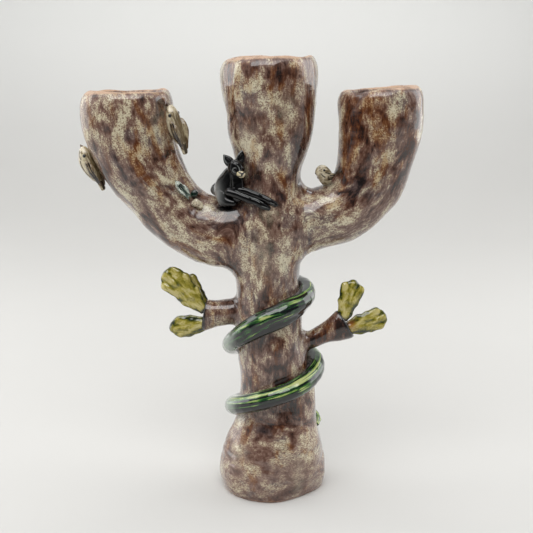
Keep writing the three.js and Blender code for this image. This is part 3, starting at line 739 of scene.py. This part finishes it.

# Stains, and in the dark list painted shade too: (centre, radius, strength)
# Dark list: painted shadow under the fox, painted shade where the birds meet the cups and the crotch and where the left
# arm's underside meets the trunk, and dark glaze streaks on the centre limb.
DARK_STAINS_AND_SHADE = [
    ((-37, -22, 238), (10, 15, 6), 1.5), ((-28, -24, 243), (7, 9, 5), 0.8), ((40, -9, 254), (7, 10, 3.6), 1.0),
    ((-82, -22, 255), (9, 9, 2.2), 0.5), ((-72, -14, 283), (3, 8, 3), 0.9), ((-132, -8, 251), (3, 7, 4), 0.7),
    ((-29, -20, 186), (8, 14, 2.6), 0.6), ((-20, -22, 262), (4, 9, 9), 0.6), ((-11, -26, 257), (3, 9, 12), 0.5),
]
RUST_STAINS = [
    ((-81, -16, 303), (3.6, 9, 15), 1.0), ((60, -22, 304), (12, 18, 26), 1.0), ((78, -27, 312), (6, 14, 18), 0.9),
    ((-66, -22, 247), (6, 9, 4), 0.6), ((44, -8, 133), (16, 12, 9), 0.7), ((-42, -6, 150), (12, 12, 10), 0.5),
    ((8, -27, 132), (9, 8, 8), 0.5), ((92, -22, 280), (9, 12, 14), 0.4),
]
PALE_STAINS = [
    ((-3, -26, 235), (5.5, 8, 5), 0.8), ((24, -22, 251), (4.5, 8, 6), 0.6), ((-21, -24, 289), (7, 9, 9), 0.5),
    ((20, -28, 20), (4, 14, 16), 0.45), ((-8, -26, 205), (7, 9, 20), 0.4), ((-142, -10, 300), (7, 12, 22), 0.4),
    ((-86, -22, 300), (7, 9, 14), 0.35), ((-28, -26, 38), (7, 12, 10), 0.35), ((8, -26, 312), (8, 10, 12), 0.4),
]


# Mottled spots from a list: the rust and pale lists are the glaze's own colour, the dark list is partly painted shade.
def stain_and_shade(points, spots):
    mottle = 0.75 + 0.25 * waves(points, 21, 4.5)[0]
    return np.clip(sum(strength * spot(points, *place) for *place, strength in spots) * mottle, 0, 1)


tree()

foot = frame["nodes"]["foot_slab"]
foot.data.materials.clear()
foot.data.materials.append(CLAY_FOOT)


def solid(name, clay, material, slot, nodes, place=None, layers=(), **extra):
    """Models one small piece and makes it, with its ink lines as an attribute."""
    clay.model()
    points, quads, normals = clay.skin()
    ink = np.exp(-((np.maximum(clay.sample(clay.lines, points), 0) / 0.35) ** 2))
    if layers:
        points, normals = lump(points, normals, layers)
    attributes = {"ink": ink, "flow": points}
    for key, rule in extra.items():
        attributes[key] = rule(points)
    make(name, points, quads, normals, material, slot, nodes, place=place, **attributes)


knot = Clay(FIGURE_CELL).add(egg((-59.2, -21.4, 241.8), (3.8, 3.2, 3.2)))
knot.add(egg((-56, -21.6, 240), (2.6, 2.4, 2.4)), 1.6)
solid("clay_arm_knot", knot, BARK, "bark_glaze", ["arm_knot"], layers=[(4, 5, 0.3, (1, 1, 1))],
      pale=lambda p: np.full(len(p), 0.85))
bud = Clay(FIGURE_CELL).add(egg((-60.8, -18.4, 248.6), (3.0, 3.0, 2.9)))
solid("glazed_green_bud", bud, BUD, "bud_glaze", ["green_bud"], layers=[(6, 4, 0.2, (1, 1, 1))])


# ---- Leaves ----
def outline_distance(u, v, rim):
    """Signed distance to a closed outline, below 0 inside."""
    best = np.full(u.shape, FAR * FAR, np.float32)
    inside = np.zeros(u.shape, bool)
    for (ax, ay), (bx, by) in zip(rim, np.roll(rim, -1, axis=0)):
        ex, ey = bx - ax, by - ay
        t = np.clip(((u - ax) * ex + (v - ay) * ey) / (ex * ex + ey * ey + 1e-9), 0, 1)
        best = np.minimum(best, (u - ax - t * ex) ** 2 + (v - ay - t * ey) ** 2)
        if ay != by:
            inside ^= ((ay > v) != (by > v)) & (u < (v - ay) / (by - ay) * ex + ax)
    return np.where(inside, -1, 1) * np.sqrt(best)


def leaf(name, at, towards, edge, fingers, seed, bend=0.0, lobes=0.5, rusty=0.0):
    """A leaf of thumbed clay: a thin blade with `edge` as its half outline, [along, half width], from the stalk.
    Rounded fingers (degrees, length, radius) fan out over it, and dark glaze pools between them.
    `rusty` is the strength of a rust spot at the stalk."""
    half = spline(edge, 5)
    rim = np.vstack([half * [1, -1], half[::-1]])
    angle = np.arctan2(rim[:, 1], rim[:, 0] - rim[:, 0].max() / 2)
    rim = rim + lobes * np.stack([np.cos(angle), np.sin(angle)], 1) * np.sin(angle * 7 + seed)[:, None]
    length = half[:, 0].max()
    way = Vector((towards[0] - at[0], 0.0, towards[1] - at[2])).normalized()
    out = Vector((0, -1, 0))
    place = Matrix.Translation(Vector(at)) @ Matrix((way, out.cross(way), out)).transposed().to_4x4()
    rays = [(math.radians(turn), reach, radius) for turn, reach, radius in fingers]

    def middle(u, v):
        return bend * (u / length) ** 2

    def dents(u, v):
        return np.sin(u / 2.6 + seed * 2 + 1.5 * np.sin(v / 3.0)) * np.sin(v / 2.4 + seed + 0.8 * np.sin(u / 4.0))

    def distance(x, y, z):
        u, v = np.broadcast_arrays(x[:, :, 0], y[:, :, 0])
        flat = outline_distance(u, v, rim)
        body = 1.5 * np.sqrt(np.clip(-flat / 3, 0, 1)) + 0.5
        front = (body + 0.5 * dents(u, v) * np.clip(-flat / 3, 0, 1))[:, :, None]
        lift = z - middle(u, v)[:, :, None]
        return np.maximum(np.maximum(lift - front, -lift - body[:, :, None]) * 0.8, flat[:, :, None]).astype(np.float32)

    room = 5 + abs(bend)
    blade = Shape([*rim.min(0), -room], [*rim.max(0), room], distance)
    clay = Clay(LEAF_CELL).add(blade)
    for turn, reach, radius in rays:
        stations = []
        for share, swell in ((0.05, 0.75), (0.35, 0.8), (0.7, 1.0), (1.0, 0.85)):
            u, v = reach * share * math.cos(turn * share**0.5), reach * share * math.sin(turn * share**0.5)
            stations.append([u, v, middle(u, v) - 0.4, radius * swell])
        clay.add(limb(stations), 2.2)

    def pool(points):
        """0 along the fingers, and 1 in the valleys between them and on the blade."""
        u, v = points[:, 0], points[:, 1]
        away = np.full(len(points), 9.0)
        for turn, reach, radius in rays:
            share = np.clip(np.hypot(u, v) / reach, 0.05, 1)
            axis = turn * share**0.5
            gone = np.hypot(u - share * reach * np.cos(axis), v - share * reach * np.sin(axis))
            away = np.minimum(away, gone / radius)
        return np.clip(0.14 + step(away, 0.35, 1.3) * 0.62 + 0.14 * dents(u, v), 0, 1)

    solid("leaf_" + name, clay, LEAF, "leaf_glaze", [name], place, layers=[(seed, 6, 0.22, (1, 1, 1))],
          pool=pool, dark=lambda p: 0.95 * step(p[:, 0], 2.6, 0.6),
          rust=lambda p: rusty * spot(p, (4, 2, 1), (4, 4, 4)))


leaf("left_upper_leaf", (-55.5, -7, 153), (-89, 187),
     [[-1, 4], [8, 6.4], [15, 9], [22, 9], [30, 10.6], [37, 10.2], [42.5, 6.5], [44, 1]],
     [(14, 37, 3.2), (3, 41, 3.4), (-8, 40, 3.4), (-17, 31, 3.2), (-27, 18, 2.6), (25, 17, 2.6)], 2, bend=-2)
leaf("left_back_leaf", (-54, 0, 154), (-74, 185), [[-1, 3.5], [10, 5], [18, 6.2], [25, 5.8], [30, 3.5], [32, 1]],
     [(8, 28, 3.0), (-10, 27, 3.0)], 5, bend=2, lobes=0.4)
leaf("left_lower_leaf", (-54.5, -6, 141.5), (-84, 137), [[-1, 5], [8, 7.8], [17, 9.2], [24, 7.8], [27.5, 4.4], [29, 0.6]],
     [(14, 22, 3.2), (1, 26, 3.8), (-14, 22, 3.2)], 9, bend=-1.5, lobes=0.3)
leaf("right_upper_leaf", (56, -6, 145), (65.4, 177), [[-1, 4], [9, 6.6], [18, 8.6], [25, 9.2], [30, 6.4], [32.5, 1]],
     [(14, 28, 3.0), (1, 30, 3.2), (-14, 28, 3.0), (26, 15, 2.4)], 14, bend=-2)
leaf("right_lower_leaf", (59.5, -7, 137.6), (91, 147.4), [[-1, 5], [9, 8], [18, 8.8], [26, 8.4], [31.5, 4.8], [33, 1]],
     [(14, 27, 3.2), (0, 30, 3.2), (-14, 27, 3.2)], 17, bend=-2.5, rusty=0.8)


# ---- The snake ----
SNAKE_RADIUS = 7.7
SNAKE_CLIMB = [
    [0, 53], [0.25, 60], [0.5, 70], [0.75, 90], [1, 106], [1.25, 113], [1.5, 121.5], [1.75, 154], [2, 167], [2.12, 169.5],
    [2.28, 183],
]  # turns from the tail's tip, and height
SNAKE_FOLD = (1.52, 1.99)  # the turns over which a second strand of clay shows


def column_at(height):
    rows = np.array(COLUMN)
    return [np.interp(height, rows[:, 2], rows[:, i]) for i in (0, 1, 3, 4)]


def snake_path(count=70):
    """Rows of turns, x, y, z and radius from the tail's tip to the neck."""
    turns = np.linspace(0, SNAKE_CLIMB[-1][0], count)
    climb = spline(SNAKE_CLIMB, 12)
    heights = np.interp(turns, climb[:, 0], climb[:, 1])
    rows = []
    for t, z in zip(turns, heights):
        x, y, a, b = column_at(z)
        radius = SNAKE_RADIUS * min(1, 0.3 + 0.7 * math.sqrt(t / 0.5)) * min(1, 0.78 + (turns[-1] - t) / 1.6)
        off = radius * 0.66 - 2.5 * max(0, 1 - t / 0.15)
        turn = t * 2 * math.pi
        rows.append([t, x + (a + off) * math.cos(turn), y + (b + off) * math.sin(turn), z, radius])
    return np.array(rows)


def snake():
    path = snake_path()
    clay = Clay(SNAKE_CELL)
    clay.add(limb(path[:, 1:].tolist(), 1))
    strand = path[(path[:, 0] > SNAKE_FOLD[0]) & (path[:, 0] < SNAKE_FOLD[1])]
    share = np.linspace(0, 1, len(strand))
    fold = strand[:, 1:].copy()
    fold[:, 2] += 0.5
    fold[:, 2] -= 8.2 * np.sin(share * math.pi) ** 0.4
    fold[:, 3] = 4.3 * np.sin(share * math.pi) ** 0.5 + 1.2
    clay.add(limb(fold.tolist(), 1), 1.2)
    middle = spline(path[:, 1:4], 8)
    lengths = np.concatenate([[0], np.cumsum(np.linalg.norm(np.diff(middle, axis=0), axis=1))])

    def back(points):
        """0.5 on the flanks and more on the upper front, where the brush went, and on the tail. The rise towards the
        top and the fall underneath are partly painted light and shade.
        """
        gone = points - middle[nearest(points, middle)]
        outward = points[:, :2] / np.linalg.norm(points[:, :2], axis=1)[:, None]
        lean = (gone[:, :2] * outward).sum(1)
        level = 0.5 + 0.3 * (gone[:, 2] * 0.8 + lean * 0.35) / SNAKE_RADIUS
        return level - 0.25 * step(gone[:, 2] - lean, 3, 8) + 0.3 * step(-points[:, 2], -66, -58)

    def side(points):
        """The left ends of the coils, which are pale grey-green: partly thin glaze and partly a painted reflection of
        the light box.
        """
        return 0.75 * step(-points[:, 0], 27.5, 37)

    def flow(points):
        near = nearest(points, middle)
        return np.stack([points[:, 2] - middle[near, 2], np.hypot(points[:, 0], points[:, 1]), lengths[near]], 1)

    solid("glazed_snake_body", clay, SNAKE, "snake_glaze", ["snake_body"], layers=[(31, 26, 0.2, (1, 1, 1))],
          back=back, side=side, flow=flow)

    neck = path[-1, 1:4]
    forward = path[-1, 1:4] - path[-2, 1:4]
    forward /= np.linalg.norm(forward)
    forward = forward + [0, 0, 0.25]
    outward = np.array([neck[0], neck[1], 0]) / math.hypot(neck[0], neck[1])

    def along(distance, lift=0.0):
        return (neck + forward * distance + outward * lift).tolist()

    head = Clay(FIGURE_CELL)
    head.add(limb([[*along(-2), 6.6], [*along(5), 8], [*along(12, 0.5), 8.6], [*along(19, 0.3), 6.4], [*along(25), 3.4]]))
    head.add(egg(along(12, 1), (8.6, 8.6, 9.4)), 3)
    mouth = [[*(np.array(along(d, 3)) + [0, 0, r]), 0.6] for d, r in ((13, 6), (19, 3.6), (25.5, 0), (27, 0))]
    head.ink(mouth)
    # The head's colour level rises towards the top and falls below: painted light and shade.
    solid("glazed_snake_head", head, SNAKE, "snake_glaze", ["snake_head"],
          back=lambda p: np.clip(0.5 + (p[:, 2] - p[:, 2].mean()) / 16, 0, 1))
    for name in ("snake_eye_upper", "snake_eye_lower"):
        low, high = (np.array(v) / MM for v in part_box(name))
        eye = Clay(0.3).add(egg((low + high) / 2, (2.1, 2.1, 2.1)))
        solid("glazed_" + name, eye, EYE, "eye_glaze", [name])


snake()


# ---- Figures: modelled in their own frames, +X the face's way and +Z the back's way ----
def figure_place(position, face, back):
    x = Vector(face).normalized()
    y = Vector(back).cross(x).normalized()
    return Matrix.Translation(Vector(position)) @ Matrix((x, y, x.cross(y))).transposed().to_4x4()


def shade_of(rules):
    return lambda p: np.clip(sum((strength * spot(p, *place) for *place, strength in rules), np.zeros(len(p))), 0, 1)


SLENDER = [
    [-12, 0, 0.2, 1.8, 2.2], [-7, 0, -1, 4.2, 4.2], [-1, 0, -2, 5.9, 5.6], [5, 0, -2.2, 6.3, 6], [9.5, 0, -1.2, 5.8, 5.6],
    [12.8, 0, -0.4, 4.4, 4.2], [15, 0, 0.2, 2.8, 2.8],
]
PLUMP = [
    [-4.5, 0, -12.5, 3, 3], [-2.5, 0, -8, 5.6, 5.4], [1, 0, -3.6, 6.8, 6.4], [4, 0, 0.4, 6.6, 6.2], [6.8, 0, 2.4, 5.6, 5.2],
    [9.8, 0, 1.6, 3.8, 3.6],
]


def bird(prefix, position, face, back, scale=1.0, build=SLENDER, eyes=True, tail=True,
         body_glaze=FEATHER, wing_glaze=WING, stripe=0.35):
    """A bird in parts. `stripe` is the width of the lines on its sides, and a wide one adds lines on its back."""
    place = figure_place(position, face, back) @ Matrix.Scale(scale, 4)
    cell = FIGURE_CELL / max(scale, 0.6)
    nose = build[-1]
    drop = 0 if build is SLENDER else -5

    def piece(part, clay, material, slot, rules=()):
        solid(f"glazed_{prefix}_{part}", clay, material, slot, [f"{prefix}_{part}"], place,
              layers=[(41, 7, 0.16, (1, 1, 1))], shade=shade_of(rules))

    body = Clay(cell).add(limb(build))
    for side in (1, -1):
        cheek = [[nose[0] - 3, side * 4.9, -2.6, 0.35], [nose[0] - 6, side * 6, -2, 0.3]]
        body.ink([[nose[0], side * 3.2, nose[2] - 1.4, 0.3], *cheek])
        body.ink([[7, side * 6, 1.6, stripe], [1, side * 6.4, 0.4, stripe], [-6, side * 4.6, 0.4, stripe]])
        body.ink([[8, side * 5.2, -3.6, stripe], [1, side * 5.4, -4.6, stripe], [-6, side * 3.8, -3, stripe]])
    if stripe > 1:
        for y in (-2.9, 0, 2.9):
            body.ink([[10, y * 0.7, 4.2, 0.7], [2, y * 1.2, 3.4, 0.8], [-8, y * 0.8, 2.6, 0.5]])
    piece("body", body, body_glaze, "feather_glaze", [((-9, 0, 2), (5, 6, 4), 0.7), ((2, 0, 4), (9, 6, 2.5), 0.9)])
    tip = [[nose[0] + 1.8, 0, nose[2] - 0.3, 1.5], [nose[0] + 4.2, 0, nose[2] - 0.8, 0.5]]
    beak = Clay(SMALL_CELL).add(limb([[nose[0] - 1.2, 0, nose[2], nose[3] * 1.15], *tip]))
    for side in (1, -1):
        beak.ink([[nose[0], side * 2.2, nose[2] - 0.6, 0.25], [nose[0] + 2.6, side * 1.1, nose[2] - 0.7, 0.25]])
    piece("beak", beak, wing_glaze, "wing_glaze", [((nose[0] + 3, 0, 0), (3, 3, 3), 0.8)])
    if tail:
        fan = Clay(cell).add(limb([[-8, 0, 0.2, 2.2, 3.2], [-13, 0, 0.2, 1.9, 2.8], [-18.5, 0, 0, 1.5, 2.8]]))
        for y in (-1.2, 0, 1.2):
            fan.ink([[-11, y * 0.8, 2.2, 0.35], [-16, y, 1.9, 0.35], [-22, y * 1.4, 1.3, 0.4]])
        piece("tail", fan, body_glaze, "wing_glaze", [((-20, 0, 2), (4, 5, 2), 0.5)])
    for side, sign in (("left", 1), ("right", -1)):
        wing = Clay(cell)
        wing.add(egg((-1, sign * 4.6, 1.4 + drop), (7.8, 2.2, 3.8), (sign * -24, 4, sign * 4)))
        quills = [[-8, sign * 3.8, 1.6 + drop, 2.5, 1.5], [-15.5, sign * 2.2, 1.2 + drop, 1.0, 0.9]]
        wing.add(limb([[0, sign * 4.6, 1.6 + drop, 3, 1.7], *quills]), 2)
        for row in (drop - 1.8, drop, drop + 1.8):
            feather = [[-4, sign * 6.3, 1.6 + row * 0.9, 0.4], [-13, sign * 3.9, 1.4 + row * 0.6, 0.35]]
            wing.ink([[4, sign * 6.5, 1.6 + row, 0.4], *feather])
        piece(f"wing_{side}", wing, wing_glaze, "wing_glaze", [((-10, sign * 5, 1), (8, 4, 4), 0.8)])
        if eyes:
            ahead, gap, rise = (7.6, 4.6, 3.6) if build is PLUMP else (10.4, 4.5, 1.4)
            eye = Clay(EYE_CELL).add(egg((ahead, sign * gap, rise), (1.35, 1.1, 1.35)))
            piece(f"eye_{side}", eye, EYE, "eye_glaze")


bird("outer_bird", (-140.6, -6, 267.4), (-0.42, 0, 0.907), (0.8, -0.45, 0.37))
bird("cup_bird", (-73.4, -13.5, 297.8), (-0.3, 0, 0.95), (0.75, -0.62, 0.24), 1.04)
bird("crotch_bird", (41.2, -3.5, 262.4), (-0.76, -0.65, 0.02), (0.02, 0, 1), 0.84, PLUMP, tail=False)
bird("arm_bird", (-69, -22.4, 251.6), (-0.6, 0, 0.75), (0.35, -0.9, 0.25), 0.5, eyes=False, tail=False,
     body_glaze=STRIPED, wing_glaze=STRIPED, stripe=1.1)


def fox():
    place = figure_place((-36, -12, 246), (1, 0, 0), (0, 0, 1))

    def piece(part, clay, material=BLACK, slot="black_glaze", soft=0.2):
        # Each fox piece carries a pale painted reflection on the back-left of the body.
        solid(f"glazed_fox_{part}", clay, material, slot, [f"fox_{part}"], place, layers=[(52, 9, soft, (1, 1, 1))],
              sheen=lambda p: 0.9 * spot(p, (-11, -4, 0), (6, 9, 10)))

    body = Clay(0.5)
    spine = [[-1.5, 0, -3, 6, 7], [-1, 0, 4, 9, 9.5], [0.5, -1, 10, 8.4, 8.8], [3, -2.5, 16, 6.4, 7], [6, -5, 21, 4.8, 5.4]]
    body.add(limb(spine))
    body.add(limb([[8.4, -8.6, 1, 5, 4.8], [9, -8.8, 8, 5.2, 4.8], [8.4, -8.6, 16, 4.8, 4.6]]), 3)
    body.ink([[-9, -7, -3, 0.3], [-3, -10.4, -2, 0.3], [6, -13.2, -2.4, 0.3]])
    piece("body", body)

    head = Clay(FIGURE_CELL)
    head.add(egg((7.4, -8.4, 22.8), (6.7, 6.2, 6))).add(limb([[8.4, -10.4, 21, 4.6], [10.6, -13, 18.8, 3.3]]), 2.2)
    head.add(egg((7.4, -10.2, 26), (4.6, 3.8, 2.6)), 2.2)
    head.ink([[4.6, -12.8, 27, 0.3], [7.4, -13.9, 26, 0.3], [9.6, -14.6, 23.6, 0.3], [10.2, -15.4, 21.6, 0.3]])
    head.ink([[7, -12, 28.4, 0.3], [10, -12.8, 26.6, 0.3], [11.8, -13.2, 23.4, 0.3]])
    turns = [(math.cos(a), math.sin(a)) for a in np.linspace(0.6, 6.2, 9)]
    head.ink([[6.9 + 2 * c, -14.6 + 0.5 * abs(c), 21.5 + 1.8 * s, 0.3] for c, s in turns])
    piece("head", head, soft=0.1)
    muzzle = Clay(0.3).add(egg((11, -14.2, 18.4), (3.5, 3.2, 2.6), (0, 20, 0)))
    muzzle.add(egg((12.4, -16.2, 19), (2, 1.9, 1.6)), 1.4)
    muzzle.ink([[9, -16.6, 20.6, 0.35], [11, -17.6, 19.6, 0.4], [12.4, -18.2, 19, 0.5], [14, -16.6, 20.6, 0.35]])
    muzzle.ink([[12.2, -18, 19, 0.4], [11.6, -17.4, 17.2, 0.35], [9.4, -16.4, 17, 0.35]])
    piece("muzzle", muzzle, CREAM, "cream_glaze", 0.08)
    ears = {
        "left": [[4.6, -7.6, 24.2, 3.4, 2.3], [1.6, -7.6, 27.8, 3.6, 1.8], [-1.7, -7.4, 31.8, 0.9, 0.8]],
        "right": [[9.8, -6.8, 26.6, 3.2, 2.3], [11, -6.6, 31, 3.0, 1.7], [12.6, -6.2, 36, 0.7, 0.7]],
    }
    for side, stations in ears.items():
        ear = Clay(SMALL_CELL).add(limb(stations))
        ear.cut(limb([[x + 0.3, y - 2.3, z - 0.2, r] for (x, y, z, _, _), r in zip(stations, (1.0, 1.9, 0.5))]), 0.5)
        (x0, y0, z0, r0, _), (x1, y1, z1, r1, _), (x2, y2, z2, _, _) = stations
        ear.ink([[x0 - r0, y0 - 1.2, z0 + 1, 0.3], [x1 - r1 * 0.85, y1 - 1.2, z1 + 1, 0.3], [x2, y2 - 0.6, z2 + 0.4, 0.3]])
        piece(f"ear_{side}", ear, soft=0.05)
    for side, x, y, z in (("left", 6.9, -14.0, 21.5), ("right", 12, -12.4, 23.0)):
        piece(f"eye_{side}", Clay(EYE_CELL).add(egg((x, y, z), (1.3, 1.1, 1.2))), EYE, "eye_glaze", 0.02)

    legs = {
        "foreleg_near": [
            [2, -10, 4.4, 3.6], [11, -13.6, 1.6, 3.2], [22, -15.2, -2.4, 3.0], [28, -15.6, -5.4, 2.9], [32, -15.4, -7.4, 2.1],
        ],
        "foreleg_far": [
            [7, -10, 6.6, 3.2], [17, -13, 4.4, 2.9], [27, -14.6, 0.8, 2.7], [33.6, -15, -2.6, 2.7], [37.4, -15, -4.6, 1.9],
        ],
    }
    for part, stations in legs.items():
        leg = Clay(FIGURE_CELL).add(limb(stations))
        shifts = [(5, -3.4, 1.6), (0, -2, 2.5), (0, -1.8, 2.4), (0, -1.8, 2.2)]
        leg.ink([[x + a, y + b, z + c, 0.2] for (x, y, z, _), (a, b, c) in zip(stations, shifts)])
        toes = zip(stations[3:], [(-1, -3, 0), (1, -2.2, 0)])
        leg.ink([[x + a, y + b, z + c, 0.2] for (x, y, z, _), (a, b, c) in toes])
        piece(part, leg)
    piece("haunch", Clay(FIGURE_CELL).add(limb([[-3, -5, 2.5, 5.2, 4.8], [-2, -7, -2.5, 4.6, 4.4], [5, -9.6, -4, 3, 3]])))
    piece("tail", Clay(FIGURE_CELL).add(limb([[-6, 6, 1, 3.4], [-10, 11, 3, 3.6], [-7, 16, 6, 3.2], [-1, 18.5, 9, 1.6]])))


fox()


# ---- Stage, lights and camera ----
SENSOR_WIDTH = 36  # mm
PHOTO_WIDTH, PHOTO_FOCAL = 533, 925  # pixels
PHOTO_PITCH = 12.7  # degrees below level


def stage():
    floor = bpy.data.meshes.new("backdrop")
    profile = [(-3.0, 0.0), (0.9, 0.0)]
    profile += [(0.9 + 1.2 * math.sin(a), 1.2 - 1.2 * math.cos(a)) for a in np.linspace(0.1, math.pi / 2, 14)]
    profile.append((2.1, 4.0))
    width = 4.0
    corners = [(side * width, y, z) for y, z in profile for side in (-1, 1)]
    faces = [(2 * i, 2 * i + 1, 2 * i + 3, 2 * i + 2) for i in range(len(profile) - 1)]
    floor.from_pydata(corners, [], faces)
    floor.shade_smooth()
    sweep = bpy.data.objects.new("backdrop", floor)
    bpy.context.collection.objects.link(sweep)
    paper = Glaze("backdrop_paper", coat=0.0)
    tone = paper.noise(paper.position, 3.0, 2)
    split = paper.put("ShaderNodeSeparateXYZ", {0: paper.position})
    height = split.outputs["Z"]
    colour = paper.mix(paper.band(height, 0.0, 0.5), paper.mix(tone, "#cccbc8", "#c8c7c4"), "#f4f4f1")
    # Painted shade: the floor fades to dark grey towards the viewer, where the light falls off.
    colour = paper.mix(paper.band(split.outputs["Y"], -0.3, -1.0), colour, "#3c3c3b")
    floor.materials.append(paper.finish(colour, paper.band(tone, 0, 1, 0.75, 0.85), tone, 0.0002, 0.05))


def area_light(name, place, aim, size, power):
    light = bpy.data.lights.new(name, "AREA")
    light.shape = "RECTANGLE"
    light.size, light.size_y = size
    light.energy = power
    lamp = bpy.data.objects.new(name, light)
    lamp.location = place
    lamp.rotation_euler = (Vector(aim) - Vector(place)).to_track_quat("-Z", "Y").to_euler()
    bpy.context.collection.objects.link(lamp)


def light_tent():
    """A pale dome, darker on the viewer's side, with soft boxes left, right, above the viewer and at the wall."""
    world = bpy.data.worlds.new("light_tent")
    bpy.context.scene.world = world
    world.use_nodes = True
    nodes, links = world.node_tree.nodes, world.node_tree.links
    coords = nodes.new("ShaderNodeTexCoord")
    split = nodes.new("ShaderNodeSeparateXYZ")
    ramp = nodes.new("ShaderNodeMapRange")
    ramp.interpolation_type = "SMOOTHSTEP"
    for key, value in {"From Min": -0.62, "From Max": 0.12, "To Min": 0.13, "To Max": 1.1}.items():
        ramp.inputs[key].default_value = value
    links.new(coords.outputs["Generated"], split.inputs[0])
    links.new(split.outputs["Y"], ramp.inputs["Value"])
    links.new(ramp.outputs["Result"], nodes["Background"].inputs["Strength"])
    nodes["Background"].inputs["Color"].default_value = (0.97, 0.975, 0.98, 1)
    area_light("left_box", (-1.2, 0.4, 0.55), (0, 0, 0.2), (1.2, 1.6), 9.5)
    area_light("right_box", (1.2, 0.45, 0.55), (0, 0, 0.2), (1.2, 1.6), 10.5)
    area_light("key_box", (-0.25, -0.9, 1.45), (0, 0, 0.15), (1.7, 0.9), 19)
    area_light("wall_box", (0, 0.9, 2.4), (0, 2.0, 0.7), (2.4, 0.6), 15)


def camera():
    """The viewer stands in front at the height of the middle rim, looking down at the foot."""
    eye = bpy.data.cameras.new("viewer")
    eye.sensor_width = SENSOR_WIDTH
    eye.lens = SENSOR_WIDTH * PHOTO_FOCAL / PHOTO_WIDTH
    viewer = bpy.data.objects.new("viewer", eye)
    viewer.location = (-0.0055, -0.723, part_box("centre_cup")[1].z)
    viewer.rotation_euler = (math.radians(90 - PHOTO_PITCH), 0, 0)
    bpy.context.collection.objects.link(viewer)
    bpy.context.scene.camera = viewer


stage()
light_tent()
camera()
bpy.context.scene.view_settings.view_transform = "Standard"
